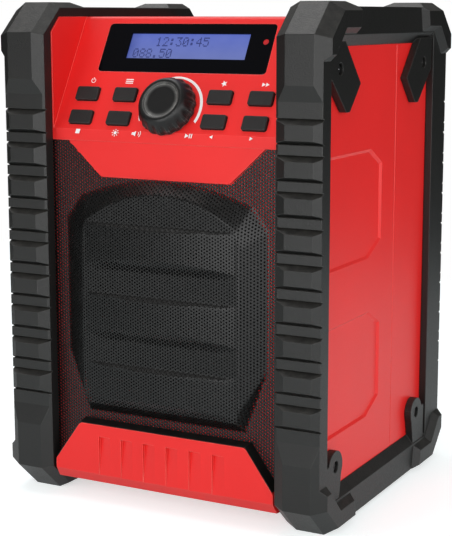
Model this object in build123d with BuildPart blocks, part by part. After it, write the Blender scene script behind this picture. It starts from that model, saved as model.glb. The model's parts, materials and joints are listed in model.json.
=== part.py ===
"""Jobsite radio: red two-part housing between two black roll-cage side frames.

Frame: millimetres, +Z up, the front faces -Y, origin on the ground under the middle of the radio.
Depths named "..._in" are measured backwards from the plane of the frames' front faces.
"""

from build123d import *
from math import atan2, cos, degrees, radians, sin, tan
import os

os.makedirs("parts", exist_ok=True)

# ---------------------------------------------------------------- driving dimensions
height = 275.0
width = 198.0
depth = 180.0

# side frames
pillar_width = 29.5
field_recess = 3.7            # the flat side field lies this much inside the corner rims
corner_run = 17.5             # 45 degree-like corner slope, along the depth
corner_rise = 16.0            # the same slope, along the height
block_length = 37.0           # flat top or foot of a corner block ends this far from the front
block_ramp = 6.0
block_reach = 41.0            # a corner block's upright face ends this far from the top or foot
upper_ramp = 8.0
lower_ramp = 11.0
beam_drop = 2.6
inner_bevel_run, inner_bevel_depth = 6.0, 3.0
outer_bevel_run, outer_bevel_depth = 7.7, 4.5
rim_width = 8.5
rim_bevel = 3.1
rim_end = 26.0                # a corner rim runs down the pillar to here, from the top or foot
rim_foot, rim_slant = 5.2, 12.3
front_flange = 12.0
rear_flange = 24.0
flange_bevel = 5.8
window_low_rim, window_high_rim = 23.0, 22.4

# tread on the pillars
tread_recess = 2.4
slot_depth = 4.5
pad_height = 7.9
pad_pitch = 18.2
first_pad_drop = 11.1         # below the upper corner block's ramp
slot_above, slot_below = 3.0, 2.2

# ears that carry the frames on the housing
ear_hole_in = 23.0            # from the frame's front plane
rear_ear_inset = 39.5         # from the frame's rear plane
upper_ear_drop = 33.5         # from the top of the radio
lower_ear_z = 36.0
lower_ear_radius = 8.6
ear_screw_radius = 1.5
ear_clearance_radius = 1.7
ear_recess_radius = 3.2
ear_recess_depth = 3.0
screw_head_radius, screw_head_height = 2.7, 1.8

# housing
wall = 3.0
housing_inset = 8.0           # the housing's sides lie this far inside the frames' outer faces
housing_front_in = 9.8
housing_back_inset = 23.5     # from the frames' rear plane
housing_bottom = 10.8
housing_top_drop = 7.8
seam_inset = 71.0             # from the frames' rear plane
seam_chamfer = 0.9
fit_gap = 0.3
housing_corner = 8.0          # chamfer of the housing's top and foot corners
lip_height = 4.0

# control panel
panel_lean = 29.9             # degrees from upright
panel_rise = 59.7             # from the panel's foot to the housing's top
key_width, key_height, key_corner = 14.0, 8.0, 1.2
key_proud = 1.8
key_travel = 0.8
key_gap = 0.25
knob_margin, cheek_margin = 5.6, 9.2      # beside the knob, and beside the cheek
key_row_pitch = 14.1
lower_row_up = 6.9            # first key row, measured up the panel from its foot
knob_radius, knob_face_radius, knob_height = 16.3, 11.6, 10.5
lens_width, lens_height, lens_up = 102.4, 29.2, 49.8
lens_thick, lens_corner, lens_gap = 1.6, 2.0, 0.2
glass_depth, glass_gap = 0.9, 0.1          # the screen's glass lies this deep in the lens
screen_width, screen_height = 73.0, 15.5
screen_x, screen_up = 0.5, 51.1
led_x, led_up, led_radius, led_depth = 46.8, 54.1, 1.6, 0.3

panel_recess = 0.8            # the upper shield lies this much behind the panel's foot
cheek_gap = 0.5               # the cheeks stand this much clear of the pillars
panel_foot_web = 1.3          # the hollow behind the panel starts this far under its foot
brow_round = 3.0

# knob and encoder
knob_lift = 0.8
knob_skirt = 3.0
knob_dish_radius, knob_dish_depth = 9.7, 0.7
knob_flute_count, knob_flute_radius = 18, 1.5
bushing_radius, shaft_radius = 3.6, 3.0
nut_radius, nut_height = 5.4, 2.2
encoder_size = 12.0
encoder_travel = 0.5
running_gap = 0.05

# control board behind the panel
key_flange, key_flange_thick = 1.25, 1.2
switch_size, switch_height, switch_cap = 6.0, 4.0, 2.6
board_thick = 1.6
board_clearance, board_low_up, board_high_up = 1.5, 1.0, 63.5
post_inset, low_post_up, high_post_up = 4.8, 13.9, 60.0
post_radius, post_screw_radius = 2.5, 1.2
lcd_width, lcd_height = 80.0, 23.0

# grille between the two shields
grille_thick = 0.9
grille_gap = 0.4
pillow_rise = 7.0
pillow_inset = 8.0            # from the pillars
pillow_foot_taper, pillow_shoulder_taper = 12.5, 9.5
pillow_low_rise, pillow_lower_rise = 6.5, 41.0                 # over the lower shield
pillow_upper_drop, pillow_shoulder_drop, pillow_crown_drop = 23.3, 10.8, 1.1    # under the upper shield
field_inset, field_foot_taper, field_shoulder_taper = 13.5, 2.5, 1.5
field_low_rise, field_lower_rise = 12.6, 19.0
field_upper_drop, field_shoulder_drop, field_crown_drop = 32.3, 23.8, 7.3
skin_inset = 0.5              # the sheet's inner side is this much smaller than its outer side
slat_height, slat_pitch, slat_count = 22.5, 38.5, 3
slat_middle_rise, slat_inset = 50.6, 2.0    # over the field's foot, and from its sides
slat_rise = 2.4               # the bands bulge this far in the middle of their length
slat_upper_run, slat_lower_run = 1.6, 4.2
window_lap = 2.0              # the baffle laps the pillow's foot all round
bed_lap = 5.0                 # the bed reaches this far behind the pillars
baffle_in = 12.0
shield_round = 3.0
upper_shield_drop, upper_shield_height = 6.1, 19.1     # from the panel's foot
upper_shield_inset, upper_shield_taper = 9.0, 20.7     # from the cheeks
lower_shield_in = 4.0
lower_shield_top, lower_shield_shoulder = 45.0, 22.0
lower_shield_inset, lower_shield_taper = 1.5, 16.5     # from the pillars
shield_lip_run, shield_lip_rise = 4.0, 6.0
shield_draft = 8.0
flute_count, flute_pitch, flute_width = 6, 14.25, 7.4
flute_top, flute_length, flute_depth = 38.4, 23.0, 1.8

# shallow fields in the housing's sides
side_recess_depth, side_recess_height = 1.2, 59.0
side_recess_lows = (49.8, 138.4)
side_recess_margin = 18.5     # from the seam
side_recess_run, side_recess_top_run, side_recess_rise = 18.0, 16.0, 8.5

# loudspeaker
speaker_rise = 65.3           # over the pillow's foot
speaker_radius = 51.0
speaker_hole_radius = 46.0
speaker_plate_thick, speaker_plate_lap = 2.5, 4.5
speaker_screw_count, speaker_screw_radius = 4, 1.3
basket_thick = 1.2
basket_window_width, basket_window_length, basket_window_ring = 13.0, 32.0, 35.0
basket_window_back, basket_window_front = 4.0, 7.0     # the windows end this far from back and flange
cone_radius, coil_radius, coil_gap = 38.0, 12.5, 0.6
roll_thick = 0.8
cone_depth, basket_depth = 17.0, 27.0
magnet_radius, magnet_bore_radius, magnet_depth = 28.0, 5.0, 14.0

# screws and the columns that join the housing
column_inset = 10.5           # from the housing's sides
column_low_rise, column_high_drop = 14.2, 15.2
column_radius, column_screw_radius = 4.0, 1.6
access_radius = 3.7
pilot_sides = 6               # the thread-forming screws bite into pilot holes with flats
board_head_radius, board_head_height = 2.2, 1.4
board_screw_grip = 5.0
column_head_radius, column_head_height = 3.2, 2.2
column_seat_depth, column_screw_length = 15.0, 32.0    # behind the seam
ear_boss_radius, ear_boss_length = 3.6, 8.0
ear_screw_length = 9.5
seal_edge, seal_width, seal_depth = 1.1, 1.0, 1.0

# battery bay and its door
door_width, door_height, door_foot = 112.0, 66.0, 40.0
door_thick = 2.7
rib_count, rib_pitch, rib_width, rib_height, rib_margin = 4, 9.0, 2.0, 0.9, 12.0
bay_depth, bay_wall = 36.0, 2.0
bay_inset = 2.0               # the bay's opening is this much smaller than the door, all round
bay_flange = 6.0
bay_rib_thick, bay_rib_height, cell_radius = 1.6, 4.0, 14.0
contact_size, contact_thick, contact_radius, contact_tip_radius = 16.0, 0.5, 4.0, 2.0
button_height, spring_height = 1.5, 3.5
hinge_radius, hinge_pin_radius, hinge_drop = 2.4, 1.2, 2.0
hinge_x, barrel_length, lug_thick = 36.0, 14.0, 3.0
latch_width, latch_travel, latch_room, latch_drop = 12.0, 3.5, 4.0, 14.0
latch_pad_width, latch_pad_height, latch_pad_thick = 22.0, 9.0, 2.2
stem_width, stem_height, tongue_thickness = 6.0, 5.0, 1.2

# main board and sockets
main_board_half, main_board_height = 62.0, 97.0
main_board_rise = 12.0        # over the battery door
main_post_inset, main_post_length = 6.0, 11.6
socket_rise, dc_x, audio_x = 32.0, -38.0, -18.0        # over the main board's foot
dc_bore_radius, dc_bore_depth, dc_pin_radius = 3.0, 9.5, 1.05
audio_bore_radius, audio_bore_depth = 1.8, 14.0
dc_collar_wall, audio_collar_wall = 2.0, 1.6
dc_body_size, audio_body_size = 12.0, 9.0
cover_width, cover_height, cover_thick = 46.0, 18.0, 2.2
cover_hinge_radius, cover_pin_radius, cover_hinge_drop, cover_barrel = 1.8, 0.8, 2.4, 20.0
cover_lip_width, cover_lip_height, cover_lip_rise = 14.0, 1.6, 1.2

# antenna
antenna_x, antenna_foot_z = 55.0, 148.0
antenna_out = 11.9            # the antenna's axis stands this far behind the housing
mount_size, mount_out = 17.0, 5.5
knuckle_radius, spigot_radius = 6.5, 3.0
antenna_pin_radius = 1.2
tongue_thick = 3.0
antenna_radii = (3.0, 2.4, 1.9, 1.4)
antenna_root = 7.0
antenna_length = 100.0

# ---------------------------------------------------------------- places that follow from them
front_y = -depth / 2
housing_width = width - 2 * housing_inset
housing_back_in = depth - housing_back_inset
housing_top = height - housing_top_drop
seam_in = depth - seam_inset
panel_foot_z = housing_top - panel_rise
upper_ear_z = height - upper_ear_drop
first_pad_top = height - block_reach - upper_ramp - first_pad_drop
pad_count = 1 + int((first_pad_top - pad_height - block_reach - lower_ramp) / pad_pitch)


def y_at(depth_in):
    """Y of a depth measured back from the frames' front plane."""
    return front_y + depth_in


housing_half = housing_width / 2
rim_x = width / 2
field_x = rim_x - field_recess
inner_x = rim_x - pillar_width
lean = radians(panel_lean)
panel_foot = Vector(0, y_at(housing_front_in), panel_foot_z)
panel_normal = Vector(0, -cos(lean), sin(lean))
panel_up = Vector(0, sin(lean), cos(lean))
panel_plane = Plane(origin=panel_foot, x_dir=(1, 0, 0), z_dir=panel_normal)
panel_length = (housing_top - panel_foot_z) / cos(lean)


def front_plane(depth_in):
    """Plane facing the front, its X to the right and its Y up."""
    return Plane.XZ.offset(-y_at(depth_in))


def side_plane(x):
    """Plane facing +X, its X backwards and its Y up."""
    return Plane.YZ.offset(x)


def outline(points):
    """Closed face in the current sketch from (depth in, height) corners."""
    return Polygon(*[(y_at(d), z) for d, z in points], align=None)


def mirrored_depth(points):
    """The same corners on the rear side of the frame."""
    return [(depth - d, z) for d, z in points]


# ---------------------------------------------------------------- side frames
octagon = [
    (0, corner_rise), (corner_run, 0), (depth - corner_run, 0), (depth, corner_rise),
    (depth, height - corner_rise), (depth - corner_run, height),
    (corner_run, height), (0, height - corner_rise),
]
front_edge = [
    (corner_run, height), (0, height - corner_rise), (0, height - block_reach),
    (tread_recess, height - block_reach - upper_ramp), (tread_recess, block_reach + lower_ramp),
    (0, block_reach), (0, corner_rise), (corner_run, 0),
]
foot_edge = [
    (block_length, 0), (block_length + block_ramp, beam_drop),
    (depth - block_length - block_ramp, beam_drop), (depth - block_length, 0),
]
top_edge = [(d, height - z) for d, z in reversed(foot_edge)]
rear_edge = list(reversed(mirrored_depth(front_edge)))
silhouette = front_edge + foot_edge + rear_edge + top_edge

rim_inner = outer_bevel_depth + rim_foot
field_edge = [
    (-1, rim_end), (rim_inner, rim_end), (rim_inner + rim_slant, rim_width + outer_bevel_depth),
    (block_length + block_ramp / 2, rim_width + outer_bevel_depth),
    (block_length + block_ramp, -1),
]
field_outline = (
    field_edge
    + mirrored_depth(field_edge)[::-1]
    + [(depth - d, height - z) for d, z in field_edge]
    + [(d, height - z) for d, z in field_edge][::-1]
)


def pad_outline(top):
    """A tread pad: flat face, ends that slant down to the floor of the slots."""
    return [
        (slot_depth, top + slot_above), (0, top),
        (0, top - pad_height), (slot_depth, top - pad_height - slot_below),
    ]


def slot_outline(top):
    """The slots above and below a pad, cut to their full depth."""
    return [
        (-1, top + slot_above), (slot_depth, top + slot_above),
        (slot_depth, top - pad_height - slot_below), (-1, top - pad_height - slot_below),
    ]


def housing_outline(gap):
    """Side view of the housing's upright sides, let out all round by a gap."""
    low, high = housing_bottom - gap, housing_top + gap
    near, far = housing_front_in - gap, housing_back_in + gap
    cut = housing_corner
    return [
        (near, low + lip_height), (near + lip_height, low), (far - cut, low), (far, low + cut),
        (far, high - cut), (far - cut, high), (near + cut, high), (near, high - cut),
    ]


window_low, window_high = window_low_rim, height - window_high_rim
window_near, window_far = front_flange, depth - rear_flange
upper_ear = [
    (window_near - 1, window_high + 2.6), (ear_hole_in + 6.0, window_high + 2.6),
    (ear_hole_in + 26.0, upper_ear_z - 7.9), (ear_hole_in + 12.3, upper_ear_z - 21.9),
    (ear_hole_in + 8.0, upper_ear_z - 21.9), (window_near - 1, upper_ear_z - 3.5),
]
lower_ear = [
    (window_near - 1, lower_ear_z + 2.0), (ear_hole_in + lower_ear_radius, lower_ear_z + 2.0),
    (ear_hole_in + 4.5, lower_ear_z - 18.0), (window_near - 1, lower_ear_z - 18.0),
]
ear_mirror = ear_hole_in + depth - rear_ear_inset
ear_holes = [(d, z) for d in (ear_hole_in, ear_mirror - ear_hole_in) for z in (lower_ear_z, upper_ear_z)]

with BuildPart() as frame_right:
    # a chamfered octagonal slab ...
    with BuildSketch(side_plane(inner_x + inner_bevel_run)):
        outline(octagon)
    extrude(amount=pillar_width - inner_bevel_run - outer_bevel_run)
    with BuildSketch(side_plane(inner_x + inner_bevel_run)):
        outline(octagon)
    extrude(amount=-inner_bevel_run, taper=degrees(atan2(inner_bevel_depth, inner_bevel_run)))
    with BuildSketch(side_plane(rim_x - outer_bevel_run)):
        outline(octagon)
    extrude(amount=outer_bevel_run, taper=degrees(atan2(outer_bevel_depth, outer_bevel_run)))
    # ... cut to the silhouette with its blocks, beams and treads
    with BuildSketch(side_plane(inner_x)):
        outline(silhouette)
        for index in range(pad_count):
            pad_top = first_pad_top - index * pad_pitch
            outline_slot = slot_outline(pad_top)
            with BuildSketch(mode=Mode.PRIVATE) as slot:
                outline(outline_slot)
                outline(mirrored_depth(outline_slot))
            add(slot.sketch, mode=Mode.SUBTRACT)
            outline(pad_outline(pad_top))
            outline(mirrored_depth(pad_outline(pad_top)))
    extrude(amount=pillar_width, mode=Mode.INTERSECT)
    # the side field is lower than the corner rims
    with BuildSketch(side_plane(rim_x)):
        outline(field_outline)
    extrude(amount=-field_recess, taper=degrees(atan2(rim_bevel, field_recess)), mode=Mode.SUBTRACT)
    # room for the housing, and the window in front of its side
    with BuildSketch(side_plane(inner_x)):
        outline(housing_outline(fit_gap))
    extrude(amount=housing_half + fit_gap - inner_x, mode=Mode.SUBTRACT)
    with BuildSketch(side_plane(housing_half)):
        outline([
            (window_near, window_low), (window_far, window_low),
            (window_far, window_high), (window_near, window_high),
        ])
    extrude(amount=field_recess + rim_x - housing_half, mode=Mode.SUBTRACT)
    bevel_width = field_x - housing_half - fit_gap
    for edge_z, away in ((window_low, -1), (window_high, 1)):
        with BuildSketch(front_plane(window_near)):
            Polygon(
                (housing_half + fit_gap, edge_z), (field_x + 0.01, edge_z),
                (field_x + 0.01, edge_z + away * flange_bevel), align=None,
            )
        extrude(amount=window_near - window_far, mode=Mode.SUBTRACT)
    # ears with their screw seats
    with BuildSketch(side_plane(housing_half + fit_gap)):
        outline(upper_ear)
        outline([(ear_mirror - d, z) for d, z in upper_ear])
        outline(lower_ear)
        outline([(ear_mirror - d, z) for d, z in lower_ear])
        with Locations(*[(y_at(d), z) for d, z in ear_holes if z == lower_ear_z]):
            Circle(lower_ear_radius)
    extrude(amount=bevel_width)
    with Locations(*[Plane(origin=(field_x, y_at(d), z), z_dir=(1, 0, 0)) for d, z in ear_holes]):
        CounterBoreHole(ear_clearance_radius, ear_recess_radius, ear_recess_depth, depth=bevel_width + 2)

frame_right.part.label = "frame_right"
export_step(frame_right.part, "parts/frame_right.step")

with BuildPart() as frame_left:
    mirror(frame_right.part, about=Plane.YZ)

frame_left.part.label = "frame_left"
export_step(frame_left.part, "parts/frame_left.step")


def save(piece, name):
    """Label a finished piece and write its STEP file."""
    piece.label = name
    export_step(piece, f"parts/{name}.step")


# ---------------------------------------------------------------- shared places
cheek_x = inner_x - cheek_gap
panel_top_in = housing_front_in + (housing_top - panel_foot_z) * tan(lean)
panel_wall_in = wall / cos(lean)
baffle_back_in = baffle_in + wall
cavity_top, cavity_low = housing_top - wall, housing_bottom + wall
cavity_half = housing_half - wall
cavity_back_in = housing_back_in - wall

# depths behind the panel's face, into the radio
flange_depth = wall + key_flange_thick
stem_depth = flange_depth + 1.0
switch_depth = stem_depth + key_travel + 0.1
board_depth = switch_depth + switch_height

key_columns = (knob_radius + knob_margin + key_width / 2, cheek_x - cheek_margin - key_width / 2)
key_grid = {
    "key_power": (-1, 1, 1), "key_menu": (-1, 0, 1), "key_mode": (-1, 1, 0), "key_dimmer": (-1, 0, 0),
    "key_preset": (1, 0, 1), "key_scan": (1, 1, 1), "key_previous": (1, 0, 0), "key_next": (1, 1, 0),
}


def key_place(side, column, row):
    """A key's centre on the control panel: across, and up from the panel's foot."""
    return (side * key_columns[column], lower_row_up + row * key_row_pitch)


key_places = [key_place(*place) for place in key_grid.values()]
knob_place = (0, lower_row_up + key_row_pitch / 2)
board_half, post_x = cheek_x - board_clearance, cheek_x - post_inset
board_posts = [(side * post_x, up) for side in (-1, 1) for up in (low_post_up, high_post_up)]
column_x = housing_half - column_inset
column_heights = (housing_bottom + column_low_rise, housing_top - column_high_drop)
column_places = [(side * column_x, z) for side in (-1, 1) for z in column_heights]
column_seat_in = seam_in + column_seat_depth


def panel_at(distance):
    """Plane parallel to the control panel, moved out of the radio by a distance."""
    return Plane(panel_plane.origin + panel_plane.z_dir * distance, panel_plane.x_dir, panel_plane.z_dir)


def ear_axes(low_in, high_in):
    """Ear screw axes on both sides whose depth lies between two values, at the housing's side."""
    return [
        Plane(origin=(side * housing_half, y_at(d), z), z_dir=(side, 0, 0))
        for side in (-1, 1) for d, z in ear_holes if low_in < d < high_in
    ]


# the two shields
upper_shield_top = panel_foot_z - upper_shield_drop
upper_shield_foot = upper_shield_top - upper_shield_height
upper_shield_half = cheek_x - upper_shield_inset
upper_shield_foot_half = upper_shield_half - upper_shield_taper
lower_shield_foot_half = inner_x - lower_shield_inset
lower_shield_half = lower_shield_foot_half - lower_shield_taper

# outline of the bed between them, in which the grille lies
bed_half = inner_x + bed_lap
with BuildSketch() as grille_bed:
    Polygon(
        (-bed_half, lower_shield_shoulder), (-lower_shield_foot_half, lower_shield_shoulder),
        (-lower_shield_half, lower_shield_top), (lower_shield_half, lower_shield_top),
        (lower_shield_foot_half, lower_shield_shoulder), (bed_half, lower_shield_shoulder),
        (bed_half, upper_shield_top), (upper_shield_half, upper_shield_top),
        (upper_shield_foot_half, upper_shield_foot), (-upper_shield_foot_half, upper_shield_foot),
        (-upper_shield_half, upper_shield_top), (-bed_half, upper_shield_top), align=None,
    )
    shield_tips = grille_bed.vertices().filter_by_position(Axis.Y, lower_shield_top, upper_shield_foot)
    fillet(shield_tips, radius=shield_round)


def arched_corners(halves, heights):
    """Corners of an upright outline whose foot is drawn in and whose top will be an arch."""
    half, foot_half, shoulder_half = halves
    low, lower, upper, shoulder = heights
    right = [(foot_half, low), (half, lower), (half, upper), (shoulder_half, shoulder)]
    return [(-x, z) for x, z in reversed(right)] + right


# the grille's pressed pillow: its foot on the flange, and the flat field at its front
pillow_half = inner_x - pillow_inset
field_half = pillow_half - field_inset
pillow_low, field_low = lower_shield_top + pillow_low_rise, lower_shield_top + field_low_rise
pillow_crown, field_crown = upper_shield_foot - pillow_crown_drop, upper_shield_foot - field_crown_drop
pillow_corners = arched_corners(
    (pillow_half, pillow_half - pillow_foot_taper, pillow_half - pillow_shoulder_taper),
    (
        pillow_low, lower_shield_top + pillow_lower_rise,
        upper_shield_foot - pillow_upper_drop, upper_shield_foot - pillow_shoulder_drop,
    ),
)
field_corners = arched_corners(
    (field_half, field_half - field_foot_taper, field_half - field_shoulder_taper),
    (
        field_low, lower_shield_top + field_lower_rise,
        upper_shield_foot - field_upper_drop, upper_shield_foot - field_shoulder_drop,
    ),
)
with BuildSketch() as pillow_foot:
    with BuildLine():
        Polyline(*pillow_corners)
        ThreePointArc(pillow_corners[-1], (0, pillow_crown), pillow_corners[0])
    make_face()

with BuildSketch() as pillow_field:
    with BuildLine():
        Polyline(*field_corners)
        ThreePointArc(field_corners[-1], (0, field_crown), field_corners[0])
    make_face()


def lower_shield_outline(inset):
    """Front view of the lower shield's face, drawn in by an inset."""
    tip, foot = lower_shield_half - inset * 0.6, lower_shield_foot_half - inset
    low, high = housing_bottom + inset, lower_shield_top - inset
    return [
        (-foot, low), (foot, low), (foot, lower_shield_shoulder),
        (tip, high), (-tip, high), (-foot, lower_shield_shoulder),
    ]


# ---------------------------------------------------------------- front shell
front_profile = [
    (housing_front_in, housing_bottom + lip_height), (housing_front_in + lip_height, housing_bottom),
    (seam_in, housing_bottom), (seam_in, housing_top),
    (housing_front_in + housing_corner, housing_top), (housing_front_in, housing_top - housing_corner),
]
panel_hollow = [
    (housing_front_in - 1, panel_foot_z), (housing_front_in, panel_foot_z),
    (panel_top_in, housing_top), (panel_top_in, housing_top + 1), (housing_front_in - 1, housing_top + 1),
]
hollow_foot_z = panel_foot_z - panel_foot_web
hollow_foot_in = housing_front_in + panel_wall_in + (hollow_foot_z - panel_foot_z) * tan(lean)
centre_cavity = [
    (baffle_back_in, cavity_low + 1), (baffle_back_in + 1, cavity_low),
    (seam_in + 1, cavity_low), (seam_in + 1, cavity_top),
    (panel_top_in + panel_wall_in - wall * tan(lean), cavity_top),
    (hollow_foot_in, hollow_foot_z), (baffle_back_in, hollow_foot_z),
]
side_cavity = [
    (housing_front_in + wall, cavity_low + lip_height), (housing_front_in + wall + lip_height, cavity_low),
    (seam_in + 1, cavity_low), (seam_in + 1, cavity_top),
    (housing_front_in + housing_corner + 1, cavity_top),
    (housing_front_in + wall, cavity_top - housing_corner + 2),
]


def side_recess_outline(low):
    """One of the shallow fields on the housing's side, open towards the pillar."""
    high = low + side_recess_height
    near, far = housing_front_in + 4, seam_in - side_recess_margin
    return [
        (near, low), (far - side_recess_run, low), (far, low + side_recess_rise),
        (far, high - side_recess_rise), (far - side_recess_top_run, high), (near, high),
    ]


with BuildPart() as front_shell:
    with BuildSketch(side_plane(0)):
        outline(front_profile)
    extrude(amount=housing_half, both=True)
    # the lower shield stands forward of the housing and is hollow behind
    with BuildSketch(front_plane(lower_shield_in)):
        Polygon(*lower_shield_outline(0), align=None)
    extrude(amount=lower_shield_in - baffle_back_in, taper=-shield_draft)
    with BuildSketch(side_plane(0)):
        outline([
            (lower_shield_in, housing_bottom + shield_lip_rise),
            (lower_shield_in + shield_lip_run, housing_bottom),
            (baffle_back_in, housing_bottom), (baffle_back_in, housing_bottom - 3),
            (lower_shield_in - 1, housing_bottom - 3),
            (lower_shield_in - 1, housing_bottom + shield_lip_rise),
        ])
    extrude(amount=housing_half, both=True, mode=Mode.SUBTRACT)
    # the leaning control panel between its two cheeks
    with BuildSketch(side_plane(0)):
        outline(panel_hollow)
    extrude(amount=cheek_x, both=True, mode=Mode.SUBTRACT)
    brow = front_shell.edges().filter_by(Axis.X).filter_by_position(
        Axis.Y, y_at(panel_top_in) - 0.1, y_at(panel_top_in) + 0.1)
    fillet(brow.filter_by_position(Axis.Z, housing_top - 0.1, housing_top + 0.1), radius=brow_round)
    # hollow inside
    with BuildSketch(side_plane(0)):
        outline(centre_cavity)
    extrude(amount=cavity_half, both=True, mode=Mode.SUBTRACT)
    for side in (-1, 1):
        with BuildSketch(side_plane(side * (cheek_x + wall))):
            outline(side_cavity)
        extrude(amount=side * (cavity_half - cheek_x - wall), mode=Mode.SUBTRACT)
    with BuildSketch(front_plane(baffle_back_in)):
        Polygon(*lower_shield_outline(wall + 1), align=None)
    extrude(amount=baffle_back_in - lower_shield_in - wall, taper=shield_draft, mode=Mode.SUBTRACT)
    # bed of the grille, the window behind its pillow, and the upper shield's shallow field
    with BuildSketch(front_plane(baffle_in)):
        add(grille_bed.sketch)
    extrude(amount=baffle_in, mode=Mode.SUBTRACT)
    with BuildSketch(front_plane(baffle_back_in)):
        add(pillow_foot.sketch)
        offset(amount=-window_lap, kind=Kind.INTERSECTION)
    extrude(amount=baffle_back_in, mode=Mode.SUBTRACT)
    with BuildSketch(front_plane(housing_front_in + panel_recess)):
        Polygon(
            (-upper_shield_half, upper_shield_top), (-upper_shield_foot_half, upper_shield_foot - 1),
            (upper_shield_foot_half, upper_shield_foot - 1), (upper_shield_half, upper_shield_top),
            align=None,
        )
    extrude(amount=panel_recess, mode=Mode.SUBTRACT)
    # flutes in the lower shield, each deepest along its left edge and at its top
    for index in range(flute_count):
        flute_x = (index - (flute_count - 1) / 2) * flute_pitch - flute_width / 2
        for level, depth_there in ((flute_top, flute_depth), (flute_top - flute_length, 0.15)):
            with BuildSketch(Plane.XY.offset(level)):
                Polygon(
                    (flute_x, y_at(lower_shield_in)), (flute_x, y_at(lower_shield_in + depth_there)),
                    (flute_x + flute_width, y_at(lower_shield_in)), align=None,
                )
        loft(mode=Mode.SUBTRACT)
    # shallow fields in the sides
    for side in (-1, 1):
        for low in side_recess_lows:
            with BuildSketch(side_plane(side * housing_half)):
                outline(side_recess_outline(low))
            extrude(amount=-side * side_recess_depth, taper=50, mode=Mode.SUBTRACT)
    # seats in the panel: keys, screen, lamp, encoder, and the lens let in flush
    with BuildSketch(panel_plane):
        with Locations(*key_places):
            RectangleRounded(key_width + 2 * key_gap, key_height + 2 * key_gap, key_corner + key_gap)
        with Locations((screen_x, screen_up)):
            Rectangle(lcd_width + 2 * fit_gap, lcd_height + 2 * fit_gap)
        with Locations((led_x, led_up)):
            Circle(led_radius + fit_gap)
        with Locations(knob_place):
            Circle(bushing_radius + 0.1)
    extrude(amount=-flange_depth, mode=Mode.SUBTRACT)
    with BuildSketch(panel_plane):
        with Locations((0, lens_up)):
            RectangleRounded(
                lens_width + 2 * lens_gap, lens_height + 2 * lens_gap, lens_corner + lens_gap)
    extrude(amount=-lens_thick, mode=Mode.SUBTRACT)
    # posts for the control board
    with BuildSketch(panel_at(-wall)):
        with Locations(*board_posts):
            Circle(post_radius)
    extrude(amount=wall - board_depth)
    with BuildSketch(panel_at(-wall)):
        with Locations(*board_posts):
            RegularPolygon(post_screw_radius, pilot_sides)
    extrude(amount=wall - board_depth, mode=Mode.SUBTRACT)
    # columns for the housing screws
    with BuildSketch(front_plane(seam_in)):
        with Locations(*column_places):
            Circle(column_radius)
    extrude(amount=seam_in - housing_front_in - wall / 2)
    with BuildSketch(front_plane(seam_in)):
        with Locations(*column_places):
            RegularPolygon(column_screw_radius, pilot_sides)
    extrude(amount=seam_in - column_seat_in + column_screw_length + 2, mode=Mode.SUBTRACT)
    # bosses for the ear screws
    with Locations(*ear_axes(0, seam_in)):
        Cylinder(ear_boss_radius, ear_boss_length, align=(Align.CENTER, Align.CENTER, Align.MAX))
    with BuildSketch(*ear_axes(0, seam_in)):
        RegularPolygon(ear_screw_radius, pilot_sides)
    extrude(amount=-ear_boss_length - 3, mode=Mode.SUBTRACT)
    # the seam is broken by a small chamfer all round
    seam_face = front_shell.faces().filter_by(Axis.Y).sort_by(Axis.Y)[-1]
    chamfer(seam_face.outer_wire().edges(), length=seam_chamfer)

save(front_shell.part, "front_shell")

# ---------------------------------------------------------------- grille
grille_front_in = baffle_in - grille_thick
plateau_in = grille_front_in - pillow_rise
slat_middle_z = field_low + slat_middle_rise
slat_heights = [slat_middle_z + (index - (slat_count - 1) / 2) * slat_pitch for index in range(slat_count)]
slat_half_length = field_half - slat_inset

with BuildPart() as slat_form:
    # bands with a narrow upper and a wide lower flank ...
    with BuildSketch(side_plane(0)):
        for slat_z in slat_heights:
            slat_top, slat_foot = slat_z + slat_height / 2, slat_z - slat_height / 2
            outline([
                (plateau_in, slat_top), (plateau_in - slat_rise, slat_top - slat_upper_run),
                (plateau_in - slat_rise, slat_foot + slat_lower_run), (plateau_in, slat_foot),
            ])
    extrude(amount=slat_half_length, both=True)
    # ... that bulge in the middle and run out at their ends
    slat_end = (slat_half_length, y_at(plateau_in))
    with BuildSketch(Plane.XY.offset(slat_heights[0] - slat_height)):
        with BuildLine():
            Line((-slat_end[0], slat_end[1]), slat_end)
            ThreePointArc(slat_end, (0, y_at(plateau_in - slat_rise + 0.05)), (-slat_end[0], slat_end[1]))
        make_face()
    extrude(amount=slat_heights[-1] - slat_heights[0] + 2 * slat_height, mode=Mode.INTERSECT)

with BuildPart() as speaker_grille:
    # flat flange on the bed
    with BuildSketch(front_plane(baffle_in)):
        add(grille_bed.sketch)
        offset(amount=-grille_gap)
    extrude(amount=grille_thick)
    # the pillow pressed forward, with three bands pressed further
    with BuildSketch(front_plane(grille_front_in)):
        add(pillow_foot.sketch)
    with BuildSketch(front_plane(plateau_in)):
        add(pillow_field.sketch)
    loft(ruled=True)
    add(slat_form.part)
    # and hollow behind, the sheet keeping its thickness
    with BuildSketch(front_plane(baffle_in)):
        add(pillow_foot.sketch)
        offset(amount=-skin_inset, kind=Kind.INTERSECTION)
    with BuildSketch(front_plane(plateau_in + grille_thick)):
        add(pillow_field.sketch)
        offset(amount=-skin_inset, kind=Kind.INTERSECTION)
    loft(ruled=True, mode=Mode.SUBTRACT)
    add(slat_form.part.moved(Location((0, grille_thick, 0))), mode=Mode.SUBTRACT)

save(speaker_grille.part, "speaker_grille")

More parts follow.
